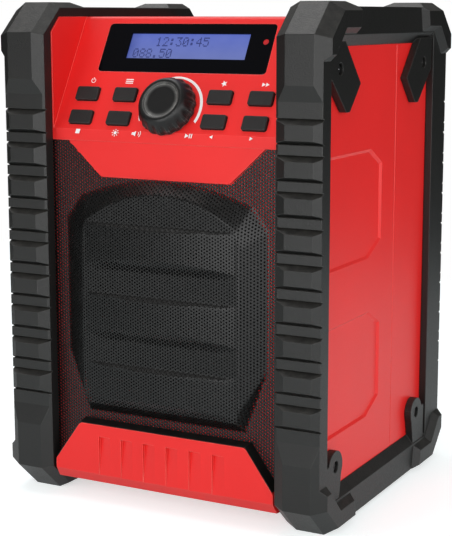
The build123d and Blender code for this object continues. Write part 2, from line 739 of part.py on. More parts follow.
# ---------------------------------------------------------------- loudspeaker
speaker_z = pillow_low + speaker_rise
plate_back_in = baffle_back_in + speaker_plate_thick
speaker_axis = Axis((0, 0, speaker_z), (0, 1, 0))
cone_back_in = plate_back_in + cone_depth
basket_back_in = plate_back_in + basket_depth
magnet_back_in = basket_back_in + magnet_depth
roll_radius = (speaker_hole_radius - cone_radius) / 2 - 0.8
roll_centre = cone_radius + roll_radius
speaker_screw_ring = (speaker_radius + speaker_hole_radius) / 2


def turned(points):
    """Closed half section of the loudspeaker from (depth in, radius) corners."""
    return Polygon(*[(y_at(d), speaker_z + r) for d, r in points], align=None)


with BuildPart() as speaker_plate:
    with BuildSketch(front_plane(plate_back_in)):
        add(pillow_foot.sketch)
        offset(amount=speaker_plate_lap, kind=Kind.INTERSECTION)
        with Locations((0, speaker_z)):
            Circle(speaker_hole_radius, mode=Mode.SUBTRACT)
            with PolarLocations(speaker_screw_ring, speaker_screw_count, start_angle=45):
                RegularPolygon(speaker_screw_radius, pilot_sides, mode=Mode.SUBTRACT)
    extrude(amount=speaker_plate_thick)

save(speaker_plate.part, "speaker_plate")

with BuildPart() as speaker_basket:
    # pressed frame: flange, sloping wall, back plate
    with BuildSketch(side_plane(0)):
        turned([
            (plate_back_in, speaker_radius), (plate_back_in, speaker_hole_radius - 2),
            (basket_back_in - basket_thick, magnet_radius - 5),
            (basket_back_in - basket_thick, coil_radius + coil_gap),
            (basket_back_in, coil_radius + coil_gap), (basket_back_in, magnet_radius - 4),
            (plate_back_in + basket_thick, speaker_hole_radius - 1),
            (plate_back_in + basket_thick, speaker_radius),
        ])
    revolve(axis=speaker_axis)
    # four windows between its arms, and the screw holes
    with Locations(Plane(origin=(0, y_at(basket_back_in - basket_window_back), speaker_z), z_dir=(0, -1, 0))):
        with PolarLocations(basket_window_ring, speaker_screw_count):
            Box(
                basket_window_width, basket_window_length, basket_depth - basket_window_front,
                align=(Align.CENTER, Align.CENTER, Align.MIN), mode=Mode.SUBTRACT,
            )
    with BuildSketch(front_plane(plate_back_in)):
        with Locations((0, speaker_z)):
            with PolarLocations(speaker_screw_ring, speaker_screw_count, start_angle=45):
                RegularPolygon(speaker_screw_radius, pilot_sides)
    extrude(amount=-3.0, mode=Mode.SUBTRACT)

save(speaker_basket.part, "speaker_basket")

with BuildPart() as speaker_magnet:
    with BuildSketch(side_plane(0)):
        turned([
            (basket_back_in, magnet_bore_radius), (basket_back_in, magnet_radius - 3),
            (basket_back_in + 2, magnet_radius - 3), (basket_back_in + 2, magnet_radius),
            (magnet_back_in - 2, magnet_radius), (magnet_back_in - 2, magnet_radius - 3),
            (magnet_back_in, magnet_radius - 3), (magnet_back_in, magnet_bore_radius),
        ])
    revolve(axis=speaker_axis)

save(speaker_magnet.part, "speaker_magnet")

with BuildPart() as speaker_cone:
    with BuildSketch(side_plane(0)):
        turned([
            (plate_back_in, cone_radius), (cone_back_in, coil_radius), (basket_back_in - 0.3, coil_radius),
            (basket_back_in - 0.3, coil_radius - 0.5), (cone_back_in - 0.6, coil_radius - 0.5),
            (plate_back_in - 0.7, cone_radius - 0.6), (plate_back_in - 0.7, cone_radius),
        ])
    revolve(axis=speaker_axis)

save(speaker_cone.part, "speaker_cone")

with BuildPart() as speaker_surround:
    # half roll of rubber between the cone and the frame
    with BuildSketch(side_plane(0)):
        turned([
            (plate_back_in, roll_centre - roll_radius), (plate_back_in - roll_radius, roll_centre),
            (plate_back_in - 0.7, roll_centre + roll_radius),
            (plate_back_in - 0.7, speaker_hole_radius - 0.2),
            (plate_back_in, speaker_hole_radius - 0.2), (plate_back_in, roll_centre + roll_radius - 0.7),
            (plate_back_in - roll_radius + roll_thick, roll_centre),
            (plate_back_in, roll_centre - roll_radius + roll_thick),
        ])
    revolve(axis=speaker_axis)

save(speaker_surround.part, "speaker_surround")

with BuildPart() as dust_cap:
    with BuildSketch(side_plane(0)):
        turned([
            (cone_back_in - 1.6, 0), (cone_back_in - 6.4, 0), (cone_back_in - 6.0, 4.5),
            (cone_back_in - 4.6, 8.6), (cone_back_in - 2.1, coil_radius - 0.5),
            (cone_back_in - 1.6, coil_radius - 0.5),
        ])
    revolve(axis=speaker_axis)

save(dust_cap.part, "dust_cap")

with BuildPart() as speaker_screws:
    with BuildSketch(front_plane(plate_back_in + basket_thick)):
        with Locations((0, speaker_z)):
            with PolarLocations(speaker_screw_ring, speaker_screw_count, start_angle=45):
                RegularPolygon(board_head_radius, pilot_sides)
    extrude(amount=-board_head_height)
    with BuildSketch(front_plane(plate_back_in + basket_thick)):
        with Locations((0, speaker_z)):
            with PolarLocations(speaker_screw_ring, speaker_screw_count, start_angle=45):
                RegularPolygon(speaker_screw_radius - running_gap, pilot_sides)
    extrude(amount=basket_thick + speaker_plate_thick)

save(speaker_screws.part, "speaker_screws")

# ---------------------------------------------------------------- display
with BuildPart() as display_lens:
    with BuildSketch(panel_at(-lens_thick)):
        with Locations((0, lens_up)):
            RectangleRounded(lens_width, lens_height, lens_corner)
        with Locations((screen_x, screen_up)):
            Rectangle(screen_width, screen_height, mode=Mode.SUBTRACT)
        with Locations((led_x, led_up)):
            Circle(led_radius + glass_gap, mode=Mode.SUBTRACT)
    extrude(amount=lens_thick)

save(display_lens.part, "display_lens")

with BuildPart() as lcd_screen:
    # the display module reaches from the lens to the board; its glass fills the lens's window
    with BuildSketch(panel_at(-board_depth)):
        with Locations((screen_x, screen_up)):
            Rectangle(lcd_width, lcd_height)
    extrude(amount=board_depth - lens_thick)
    with BuildSketch(panel_at(-lens_thick)):
        with Locations((screen_x, screen_up)):
            Rectangle(screen_width - 2 * glass_gap, screen_height - 2 * glass_gap)
    extrude(amount=lens_thick - glass_depth)

save(lcd_screen.part, "lcd_screen")

with BuildPart() as indicator_led:
    with BuildSketch(panel_at(-board_depth)):
        with Locations((led_x, led_up)):
            Circle(led_radius)
    extrude(amount=board_depth - led_depth)

save(indicator_led.part, "indicator_led")

# ---------------------------------------------------------------- control board
board_centre_up = (board_low_up + board_high_up) / 2
with BuildPart() as control_board:
    with BuildSketch(panel_at(-board_depth)):
        with Locations((0, board_centre_up)):
            Rectangle(2 * board_half, board_high_up - board_low_up)
        with Locations(*board_posts):
            Circle(post_screw_radius + 0.1, mode=Mode.SUBTRACT)
    extrude(amount=-board_thick)

save(control_board.part, "control_board")

with BuildPart() as control_board_screws:
    with BuildSketch(panel_at(-board_depth - board_thick)):
        with Locations(*board_posts):
            RegularPolygon(board_head_radius, pilot_sides)
    extrude(amount=-board_head_height)
    with BuildSketch(panel_at(-board_depth - board_thick)):
        with Locations(*board_posts):
            RegularPolygon(post_screw_radius - running_gap, pilot_sides)
    extrude(amount=board_thick + board_screw_grip)

save(control_board_screws.part, "control_board_screws")

with BuildPart() as key_switches:
    with BuildSketch(panel_at(-board_depth)):
        with Locations(*key_places):
            Rectangle(switch_size, switch_size)
    extrude(amount=switch_height - 0.8)
    with BuildSketch(panel_at(-board_depth)):
        with Locations(*key_places):
            Rectangle(switch_cap, switch_cap)
    extrude(amount=switch_height)

save(key_switches.part, "key_switches")

for key_name, key_row in key_grid.items():
    with BuildPart() as key:
        with BuildSketch(panel_at(-flange_depth)):
            with Locations(key_place(*key_row)):
                RectangleRounded(key_width, key_height, key_corner)
        extrude(amount=flange_depth + key_proud)
        chamfer(key.faces().sort_by(Axis(panel_foot, panel_normal))[-1].edges(), length=0.4)
        with BuildSketch(panel_at(-flange_depth)):
            with Locations(key_place(*key_row)):
                Rectangle(key_width + 2 * key_flange, key_height + 2 * key_flange)
        extrude(amount=key_flange_thick - running_gap)
        with BuildSketch(panel_at(-flange_depth)):
            with Locations(key_place(*key_row)):
                Rectangle(switch_cap, switch_cap)
        extrude(amount=flange_depth - stem_depth)
    save(key.part, key_name)

# ---------------------------------------------------------------- encoder and knob
bore_depth = board_depth - 1.1
shaft_foot_depth = bore_depth - encoder_travel - 1.0
shaft_top = knob_height - knob_dish_depth - 1.2
with BuildPart() as encoder_body:
    with BuildSketch(panel_at(-board_depth)):
        with Locations(knob_place):
            Rectangle(encoder_size, encoder_size)
    extrude(amount=board_depth - wall - 0.2)
    with BuildSketch(panel_at(-wall - 0.2)):
        with Locations(knob_place):
            Circle(bushing_radius)
    extrude(amount=wall + 0.2 + nut_height + 0.8)
    with BuildSketch(panel_at(-bore_depth)):
        with Locations(knob_place):
            Circle(shaft_radius + running_gap)
    extrude(amount=bore_depth + nut_height + 1.0, mode=Mode.SUBTRACT)

save(encoder_body.part, "encoder_body")

with BuildPart() as encoder_nut:
    with BuildSketch(panel_plane):
        with Locations(knob_place):
            RegularPolygon(nut_radius, 6)
            Circle(bushing_radius + 0.02, mode=Mode.SUBTRACT)
    extrude(amount=nut_height)

save(encoder_nut.part, "encoder_nut")

with BuildPart() as encoder_plunger:
    with BuildSketch(panel_at(-shaft_foot_depth)):
        with Locations(knob_place):
            Circle(shaft_radius - running_gap)
    extrude(amount=-0.9)

save(encoder_plunger.part, "encoder_plunger")

with BuildPart() as knob_shaft:
    with BuildSketch(panel_at(-shaft_foot_depth)):
        with Locations(knob_place):
            Circle(shaft_radius)
    extrude(amount=shaft_foot_depth + shaft_top)

save(knob_shaft.part, "knob_shaft")

knob_centre = panel_plane.from_local_coords(Vector(*knob_place, 0))
knob_axis = Axis(knob_centre, panel_normal)
knob_section = Plane(origin=knob_centre, x_dir=(1, 0, 0), z_dir=panel_plane.y_dir * -1)

with BuildPart() as knob:
    with BuildSketch(knob_section):
        with BuildLine():
            Polyline(
                (0, knob_lift + 3.8), (8.0, knob_lift + 3.8), (8.0, knob_lift), (knob_radius, knob_lift),
                (knob_radius, knob_lift + knob_skirt), (knob_face_radius + 1.6, knob_height - 1.2),
            )
            RadiusArc(
                (knob_face_radius + 1.6, knob_height - 1.2), (knob_face_radius, knob_height), -1.6,
            )
            Polyline(
                (knob_face_radius, knob_height), (knob_dish_radius + 0.5, knob_height),
                (knob_dish_radius, knob_height - knob_dish_depth), (0, knob_height - knob_dish_depth),
                (0, knob_lift + 3.8),
            )
        make_face()
    revolve(axis=knob_axis)
    # scallops round the skirt
    with BuildSketch(panel_at(knob_lift)):
        with Locations(knob_place):
            with PolarLocations(knob_radius + 0.4, knob_flute_count):
                Circle(knob_flute_radius)
    extrude(amount=knob_skirt + 2.4, taper=16, mode=Mode.SUBTRACT)
    with BuildSketch(panel_at(0)):
        with Locations(knob_place):
            Circle(shaft_radius + 0.02)
    extrude(amount=shaft_top, mode=Mode.SUBTRACT)

save(knob.part, "knob")

# ---------------------------------------------------------------- rear shell
rear_profile = [
    (seam_in, housing_bottom), (housing_back_in - housing_corner, housing_bottom),
    (housing_back_in, housing_bottom + housing_corner), (housing_back_in, housing_top - housing_corner),
    (housing_back_in - housing_corner, housing_top), (seam_in, housing_top),
]
inner_cut = housing_corner - wall * (2 - 2 ** 0.5)
rear_cavity = [
    (seam_in - 1, cavity_low), (cavity_back_in - inner_cut, cavity_low),
    (cavity_back_in, cavity_low + inner_cut), (cavity_back_in, cavity_top - inner_cut),
    (cavity_back_in - inner_cut, cavity_top), (seam_in - 1, cavity_top),
]
door_middle_z = door_foot + door_height / 2
opening_foot, opening_top = door_foot - fit_gap, door_foot + door_height + fit_gap
hinge_in = housing_back_in + hinge_radius + fit_gap
hinge_z = door_foot - hinge_drop
socket_z = door_foot + door_height + main_board_rise + socket_rise
cover_foot = socket_z - cover_height / 2
cover_x = (dc_x + audio_x) / 2
cover_hinge_in = housing_back_in + cover_hinge_radius + fit_gap
cover_hinge_z = cover_foot - cover_hinge_drop
main_board_in = cavity_back_in - main_post_length
main_board_low = door_foot + door_height + main_board_rise
main_board_high = main_board_low + main_board_height
main_board_posts = [
    (side * (main_board_half - main_post_inset), z)
    for side in (-1, 1) for z in (main_board_low + main_post_inset, main_board_high - main_post_inset)
]
antenna_in = housing_back_in + antenna_out
tube_foot_z = antenna_foot_z + antenna_root
tube_mouth_z = tube_foot_z + antenna_length
dc_collar, audio_collar = dc_bore_radius + dc_collar_wall, audio_bore_radius + audio_collar_wall


def lug_outline(axis_in, axis_z, radius):
    """Side view of a hinge lug: a flat rib from the wall to an eye round the pin."""
    return [
        (housing_back_in - 0.5, axis_z + radius * 0.6), (housing_back_in - 0.5, axis_z - radius * 3.2),
        (axis_in + radius * 0.7, axis_z - radius * 0.7), (axis_in, axis_z + radius * 0.6),
    ]


def lug_starts(centre, length):
    """X at which the two lugs beside a barrel begin."""
    return (centre - length / 2 - fit_gap - lug_thick, centre + length / 2 + fit_gap)


with BuildPart() as rear_shell:
    with BuildSketch(side_plane(0)):
        outline(rear_profile)
    extrude(amount=housing_half, both=True)
    seam_face = rear_shell.faces().filter_by(Axis.Y).sort_by(Axis.Y)[0]
    chamfer(seam_face.edges(), length=seam_chamfer)
    with BuildSketch(side_plane(0)):
        outline(rear_cavity)
    extrude(amount=cavity_half, both=True, mode=Mode.SUBTRACT)
    # groove for the seal
    with BuildSketch(front_plane(seam_in)):
        with Locations((0, (housing_bottom + housing_top) / 2)):
            Rectangle(
                housing_width - 2 * seal_edge + 2 * running_gap,
                housing_top - housing_bottom - 2 * seal_edge + 2 * running_gap,
            )
            Rectangle(
                housing_width - 2 * (seal_edge + seal_width) - 2 * running_gap,
                housing_top - housing_bottom - 2 * (seal_edge + seal_width) - 2 * running_gap,
                mode=Mode.SUBTRACT,
            )
    extrude(amount=-seal_depth, mode=Mode.SUBTRACT)
    # columns for the housing screws, reached from the rear
    with BuildSketch(front_plane(seam_in)):
        with Locations(*column_places):
            Circle(access_radius + 1.8)
    extrude(amount=seam_in - housing_back_in + wall / 2)
    with BuildSketch(front_plane(seam_in)):
        with Locations(*column_places):
            RegularPolygon(column_screw_radius + 0.1, pilot_sides)
    extrude(amount=seam_in - column_seat_in, mode=Mode.SUBTRACT)
    with BuildSketch(front_plane(column_seat_in)):
        with Locations(*column_places):
            Circle(access_radius)
    extrude(amount=column_seat_in - housing_back_in, mode=Mode.SUBTRACT)
    # bosses for the ear screws
    with Locations(*ear_axes(seam_in, housing_back_in)):
        Cylinder(ear_boss_radius, ear_boss_length, align=(Align.CENTER, Align.CENTER, Align.MAX))
    with BuildSketch(*ear_axes(seam_in, housing_back_in)):
        RegularPolygon(ear_screw_radius, pilot_sides)
    extrude(amount=-ear_boss_length - 3, mode=Mode.SUBTRACT)
    # posts for the main board
    with BuildSketch(front_plane(cavity_back_in)):
        with Locations(*main_board_posts):
            Circle(post_radius + 0.5)
    extrude(amount=main_post_length)
    with BuildSketch(front_plane(main_board_in)):
        with Locations(*main_board_posts):
            RegularPolygon(post_screw_radius, pilot_sides)
    extrude(amount=-8.0, mode=Mode.SUBTRACT)
    # battery opening, holes for the sockets
    with BuildSketch(front_plane(housing_back_in)):
        with Locations((0, door_middle_z)):
            Rectangle(door_width + 2 * fit_gap, door_height + 2 * fit_gap)
        with Locations((dc_x, socket_z)):
            Circle(dc_collar + 0.1)
        with Locations((audio_x, socket_z)):
            Circle(audio_collar + 0.1)
    extrude(amount=wall, mode=Mode.SUBTRACT)
    # hinge lugs of the battery door and of the socket cover
    for barrel_x in (-hinge_x, hinge_x):
        for start in lug_starts(barrel_x, barrel_length):
            with BuildSketch(side_plane(start)):
                outline(lug_outline(hinge_in, hinge_z, hinge_radius))
                with Locations((y_at(hinge_in), hinge_z)):
                    Circle(hinge_radius)
                    Circle(hinge_pin_radius + 0.02, mode=Mode.SUBTRACT)
            extrude(amount=lug_thick)
    for start in lug_starts(cover_x, cover_barrel):
        with BuildSketch(side_plane(start)):
            outline(lug_outline(cover_hinge_in, cover_hinge_z, cover_hinge_radius))
            with Locations((y_at(cover_hinge_in), cover_hinge_z)):
                Circle(cover_hinge_radius)
                Circle(cover_pin_radius + 0.02, mode=Mode.SUBTRACT)
        extrude(amount=lug_thick)

save(rear_shell.part, "rear_shell")

with BuildPart() as housing_seal:
    with BuildSketch(front_plane(seam_in)):
        with Locations((0, (housing_bottom + housing_top) / 2)):
            Rectangle(housing_width - 2 * seal_edge, housing_top - housing_bottom - 2 * seal_edge)
            Rectangle(
                housing_width - 2 * (seal_edge + seal_width),
                housing_top - housing_bottom - 2 * (seal_edge + seal_width), mode=Mode.SUBTRACT,
            )
    extrude(amount=-seal_depth)

save(housing_seal.part, "housing_seal")

with BuildPart() as housing_screws:
    with BuildSketch(front_plane(column_seat_in)):
        with Locations(*column_places):
            RegularPolygon(column_head_radius, pilot_sides)
    extrude(amount=-column_head_height)
    with BuildSketch(front_plane(column_seat_in)):
        with Locations(*column_places):
            RegularPolygon(column_screw_radius - running_gap, pilot_sides)
    extrude(amount=column_screw_length)

save(housing_screws.part, "housing_screws")

ear_seat = field_x - ear_recess_depth - housing_half
ear_seats = [axis.offset(ear_seat) for axis in ear_axes(0, depth)]
with BuildPart() as frame_screws:
    with BuildSketch(*ear_seats):
        Circle(screw_head_radius)
    extrude(amount=screw_head_height)
    with BuildSketch(*ear_seats):
        RegularPolygon(ear_screw_radius - running_gap, pilot_sides)
    extrude(amount=-ear_screw_length)

save(frame_screws.part, "frame_screws")

# ---------------------------------------------------------------- battery bay and door
bay_half = door_width / 2 - bay_inset
bay_low, bay_high = door_foot + bay_inset + 1.0, door_foot + door_height - bay_inset - 1.0
bay_middle_z = (bay_low + bay_high) / 2
bay_floor_in = cavity_back_in - bay_depth
latch_low = door_foot + door_height - latch_drop
stem_low = latch_low + (latch_pad_height - stem_height) / 2
tongue_top = door_foot + door_height - 0.8

with BuildPart() as battery_bay:
    with BuildSketch(front_plane(cavity_back_in)):
        with Locations((0, bay_middle_z)):
            Rectangle(2 * (bay_half + bay_wall), bay_high - bay_low + 2 * bay_wall)
    extrude(amount=bay_depth)
    with BuildSketch(front_plane(cavity_back_in)):
        with Locations((0, bay_middle_z)):
            Rectangle(2 * (bay_half + bay_flange + bay_wall), bay_high - bay_low + 2 * bay_wall)
    extrude(amount=bay_wall)
    with BuildSketch(front_plane(cavity_back_in)):
        with Locations((0, bay_middle_z)):
            Rectangle(2 * bay_half, bay_high - bay_low)
    extrude(amount=bay_depth - bay_wall, mode=Mode.SUBTRACT)
    # the upper wall stops short of the rear wall, so that the latch's tongue passes behind it
    with BuildSketch(front_plane(cavity_back_in)):
        with Locations((0, bay_high)):
            Rectangle(2 * bay_half, bay_wall, align=(Align.CENTER, Align.MIN))
    extrude(amount=latch_room, mode=Mode.SUBTRACT)
    # ribs that part the two rows of cells
    with BuildSketch(front_plane(bay_floor_in + bay_wall)):
        with Locations((-bay_half / 2, bay_middle_z), (bay_half / 2, bay_middle_z)):
            Rectangle(bay_half * 0.7, bay_rib_thick)
    extrude(amount=-bay_rib_height)

save(battery_bay.part, "battery_bay")

cell_rows = [bay_middle_z + side * (bay_high - bay_low) / 4 for side in (-1, 1)]
cell_in = bay_floor_in + bay_wall + cell_radius
with BuildPart() as battery_contacts:
    for side, tip_height in ((-1, spring_height), (1, button_height)):
        contact_places = [
            Plane(origin=(side * bay_half, y_at(cell_in), z), z_dir=(-side, 0, 0)) for z in cell_rows
        ]
        with Locations(*contact_places):
            Box(contact_size, contact_size, contact_thick, align=(Align.CENTER, Align.CENTER, Align.MIN))
            Cone(
                contact_radius, contact_tip_radius, tip_height,
                align=(Align.CENTER, Align.CENTER, Align.MIN),
            )

save(battery_contacts.part, "battery_contacts")

with BuildPart() as battery_door:
    with BuildSketch(front_plane(housing_back_in)):
        with Locations((0, door_middle_z)):
            Rectangle(door_width, door_height)
    extrude(amount=door_thick)
    corners = battery_door.edges().filter_by(Axis.Y)
    chamfer(corners.group_by(Axis.Z)[-1], length=1.0)
    # stiffening ribs across the outside
    with BuildSketch(front_plane(housing_back_in)):
        with GridLocations(0, rib_pitch, 1, rib_count):
            with Locations((0, door_middle_z - 6.0)):
                Rectangle(door_width - 2 * rib_margin, rib_width)
    extrude(amount=-rib_height)
    # arms and barrels of the hinge
    for barrel_x in (-hinge_x, hinge_x):
        with BuildSketch(side_plane(barrel_x - barrel_length / 2)):
            outline([
                (housing_back_in, door_foot + 12.0), (hinge_in + hinge_radius, hinge_z),
                (hinge_in - hinge_radius * 0.7, hinge_z), (housing_back_in + fit_gap, door_foot + 0.5),
                (housing_back_in, door_foot + 0.5),
            ])
            with Locations((y_at(hinge_in), hinge_z)):
                Circle(hinge_radius)
                Circle(hinge_pin_radius + running_gap, mode=Mode.SUBTRACT)
        extrude(amount=barrel_length)
    # slot for the latch
    with BuildSketch(front_plane(housing_back_in)):
        with Locations((0, stem_low - 0.2)):
            Rectangle(stem_width + 0.4, stem_height + latch_travel + 0.4, align=(Align.CENTER, Align.MIN))
    extrude(amount=door_thick, mode=Mode.SUBTRACT)

save(battery_door.part, "battery_door")

with BuildPart() as door_hinge_pins:
    for barrel_x in (-hinge_x, hinge_x):
        near, far = lug_starts(barrel_x, barrel_length)
        with BuildSketch(side_plane(near)):
            with Locations((y_at(hinge_in), hinge_z)):
                Circle(hinge_pin_radius)
        extrude(amount=far + lug_thick - near)

save(door_hinge_pins.part, "door_hinge_pins")

with BuildPart() as door_latch:
    # thumb pad outside, stem through the slot, tongue behind the door
    with BuildSketch(front_plane(housing_back_in + 0.1)):
        with Locations((0, latch_low)):
            Rectangle(latch_pad_width, latch_pad_height, align=(Align.CENTER, Align.MIN))
    extrude(amount=-latch_pad_thick)
    with BuildSketch(front_plane(housing_back_in + 0.1)):
        with Locations((0, stem_low)):
            Rectangle(stem_width, stem_height, align=(Align.CENTER, Align.MIN))
    extrude(amount=wall + fit_gap + 0.2)
    with BuildSketch(front_plane(cavity_back_in - fit_gap)):
        with Locations((0, stem_low)):
            Rectangle(latch_width, tongue_top - stem_low, align=(Align.CENTER, Align.MIN))
    extrude(amount=tongue_thickness)
    with BuildSketch(front_plane(housing_back_in + 0.1 + latch_pad_thick)):
        with GridLocations(0, 2.4, 1, 3):
            with Locations((0, latch_low + latch_pad_height / 2)):
                Rectangle(latch_pad_width - 4.0, 0.9)
    extrude(amount=0.6, mode=Mode.SUBTRACT)

save(door_latch.part, "door_latch")

# ---------------------------------------------------------------- main board and sockets
with BuildPart() as main_board:
    with BuildSketch(front_plane(main_board_in)):
        with Locations((0, (main_board_low + main_board_high) / 2)):
            Rectangle(2 * main_board_half, main_board_high - main_board_low)
        with Locations(*main_board_posts):
            Circle(post_screw_radius + 0.1, mode=Mode.SUBTRACT)
    extrude(amount=board_thick)

save(main_board.part, "main_board")

with BuildPart() as main_board_screws:
    with BuildSketch(front_plane(main_board_in - board_thick)):
        with Locations(*main_board_posts):
            RegularPolygon(board_head_radius, pilot_sides)
    extrude(amount=board_head_height)
    with BuildSketch(front_plane(main_board_in - board_thick)):
        with Locations(*main_board_posts):
            RegularPolygon(post_screw_radius - running_gap, pilot_sides)
    extrude(amount=-board_thick - board_screw_grip)

save(main_board_screws.part, "main_board_screws")

with BuildPart() as dc_inlet:
    with BuildSketch(front_plane(main_board_in)):
        with Locations((dc_x, socket_z)):
            Rectangle(dc_body_size, dc_body_size)
    extrude(amount=-main_post_length)
    with BuildSketch(front_plane(cavity_back_in)):
        with Locations((dc_x, socket_z)):
            Circle(dc_collar)
    extrude(amount=-wall)
    with BuildSketch(front_plane(housing_back_in)):
        with Locations((dc_x, socket_z)):
            Circle(dc_bore_radius)
    extrude(amount=dc_bore_depth, mode=Mode.SUBTRACT)

save(dc_inlet.part, "dc_inlet")

with BuildPart() as dc_inlet_pin:
    with BuildSketch(front_plane(housing_back_in - dc_bore_depth)):
        with Locations((dc_x, socket_z)):
            Circle(dc_pin_radius)
    extrude(amount=1.0 - dc_bore_depth)

save(dc_inlet_pin.part, "dc_inlet_pin")

with BuildPart() as audio_socket:
    with BuildSketch(front_plane(main_board_in)):
        with Locations((audio_x, socket_z)):
            Rectangle(audio_body_size, audio_body_size)
    extrude(amount=-main_post_length)
    with BuildSketch(front_plane(cavity_back_in)):
        with Locations((audio_x, socket_z)):
            Circle(audio_collar)
    extrude(amount=-wall)
    with BuildSketch(front_plane(housing_back_in)):
        with Locations((audio_x, socket_z)):
            Circle(audio_bore_radius)
    extrude(amount=audio_bore_depth, mode=Mode.SUBTRACT)

save(audio_socket.part, "audio_socket")

with BuildPart() as port_cover:
    with BuildSketch(front_plane(housing_back_in + fit_gap)):
        with Locations((cover_x, socket_z)):
            RectangleRounded(cover_width, cover_height, 3.0)
    extrude(amount=-cover_thick)
    with BuildSketch(side_plane(cover_x - cover_barrel / 2)):
        outline([
            (housing_back_in + fit_gap, cover_foot + 4.0),
            (housing_back_in + fit_gap + cover_thick, cover_foot + 4.0),
            (cover_hinge_in + cover_hinge_radius, cover_hinge_z),
            (cover_hinge_in - cover_hinge_radius, cover_hinge_z),
        ])
        with Locations((y_at(cover_hinge_in), cover_hinge_z)):
            Circle(cover_hinge_radius)
            Circle(cover_pin_radius + running_gap, mode=Mode.SUBTRACT)
    extrude(amount=cover_barrel)
    # finger lip along the top
    with BuildSketch(front_plane(housing_back_in + fit_gap + cover_thick)):
        with Locations((cover_x, socket_z + cover_height / 2 - 2.0)):
            Rectangle(cover_lip_width, cover_lip_height)
    extrude(amount=-cover_lip_rise)

save(port_cover.part, "port_cover")

with BuildPart() as cover_pin:
    near, far = lug_starts(cover_x, cover_barrel)
    with BuildSketch(side_plane(near)):
        with Locations((y_at(cover_hinge_in), cover_hinge_z)):
            Circle(cover_pin_radius)
    extrude(amount=far + lug_thick - near)

save(cover_pin.part, "cover_pin")

# ---------------------------------------------------------------- antenna
mount_in = housing_back_in + mount_out
disc_back_in = mount_in + fit_gap + 2.5
ear_inner = tongue_thick / 2 + 0.1
ear_outer = ear_inner + 2.4

with BuildPart() as antenna_mount:
    with BuildSketch(front_plane(housing_back_in)):
        with Locations((antenna_x, antenna_foot_z)):
            RectangleRounded(mount_size, mount_size, 3.0)
    extrude(amount=-mount_out)
    with BuildSketch(front_plane(mount_in)):
        with Locations((antenna_x, antenna_foot_z)):
            Circle(spigot_radius)
    extrude(amount=-fit_gap - 1.9)

save(antenna_mount.part, "antenna_mount")

with BuildPart() as antenna_knuckle:
    # disc that turns on the mount's spigot, with a fork for the antenna's foot
    with BuildSketch(front_plane(mount_in + fit_gap)):
        with Locations((antenna_x, antenna_foot_z)):
            Circle(knuckle_radius)
    extrude(amount=mount_in + fit_gap - disc_back_in)
    with BuildSketch(side_plane(antenna_x)):
        with Locations((y_at(antenna_in), antenna_foot_z)):
            Circle(antenna_pin_radius + 2.2)
        with Locations((y_at(disc_back_in), antenna_foot_z)):
            Rectangle(
                antenna_in - disc_back_in, 2 * antenna_pin_radius + 4.4, align=(Align.MIN, Align.CENTER),
            )
        with Locations((y_at(antenna_in), antenna_foot_z)):
            Circle(antenna_pin_radius + 0.02, mode=Mode.SUBTRACT)
    extrude(amount=ear_outer, both=True)
    with BuildSketch(side_plane(antenna_x)):
        with Locations((y_at(disc_back_in), antenna_foot_z)):
            Rectangle(20.0, 14.0, align=(Align.MIN, Align.CENTER))
    extrude(amount=ear_inner, both=True, mode=Mode.SUBTRACT)
    with BuildSketch(front_plane(mount_in)):
        with Locations((antenna_x, antenna_foot_z)):
            Circle(spigot_radius + running_gap)
    extrude(amount=-fit_gap - 2.0, mode=Mode.SUBTRACT)

save(antenna_knuckle.part, "antenna_knuckle")

with BuildPart() as antenna_pin:
    with BuildSketch(side_plane(antenna_x)):
        with Locations((y_at(antenna_in), antenna_foot_z)):
            Circle(antenna_pin_radius)
    extrude(amount=ear_outer, both=True)

save(antenna_pin.part, "antenna_pin")


def tube_plane(z):
    """Plane across the stowed antenna, facing its tip."""
    return Plane(origin=(antenna_x, y_at(antenna_in), z))


with BuildPart() as antenna_tube_1:
    # flat foot in the fork, then the outermost tube
    with BuildSketch(side_plane(antenna_x)):
        with Locations((y_at(antenna_in), antenna_foot_z)):
            Circle(antenna_radii[0])
            Rectangle(2 * antenna_radii[0] - 0.8, antenna_root + 1.0, align=(Align.CENTER, Align.MIN))
            Circle(antenna_pin_radius + running_gap, mode=Mode.SUBTRACT)
    extrude(amount=tongue_thick / 2, both=True)
    with BuildSketch(tube_plane(tube_foot_z)):
        Circle(antenna_radii[0])
    extrude(amount=antenna_length)
    with BuildSketch(tube_plane(tube_mouth_z)):
        Circle(antenna_radii[1] + running_gap)
    extrude(amount=4.0 - antenna_length, mode=Mode.SUBTRACT)

save(antenna_tube_1.part, "antenna_tube_1")

# the inner sections, each starting a little higher in the one outside it
section_feet = [tube_foot_z + 4.5 + 6.0 * index for index in range(3)]
for index in (1, 2):
    section_foot, section_mouth = section_feet[index - 1], tube_mouth_z + index
    with BuildPart() as section:
        with BuildSketch(tube_plane(section_foot)):
            Circle(antenna_radii[index])
        extrude(amount=section_mouth - section_foot)
        with BuildSketch(tube_plane(section_mouth)):
            Circle(antenna_radii[index + 1] + running_gap)
        extrude(amount=section_foot + 4.0 - section_mouth, mode=Mode.SUBTRACT)
    save(section.part, f"antenna_tube_{index + 1}")

with BuildPart() as antenna_tip:
    with BuildSketch(tube_plane(section_feet[2])):
        Circle(antenna_radii[3])
    extrude(amount=tube_mouth_z + 3.0 - section_feet[2])
    with BuildSketch(tube_plane(tube_mouth_z + 3.0)):
        Circle(antenna_radii[0] + 0.2)
    extrude(amount=5.0)
    chamfer(antenna_tip.edges().group_by(Axis.Z)[-1], length=0.8)

save(antenna_tip.part, "antenna_tip")
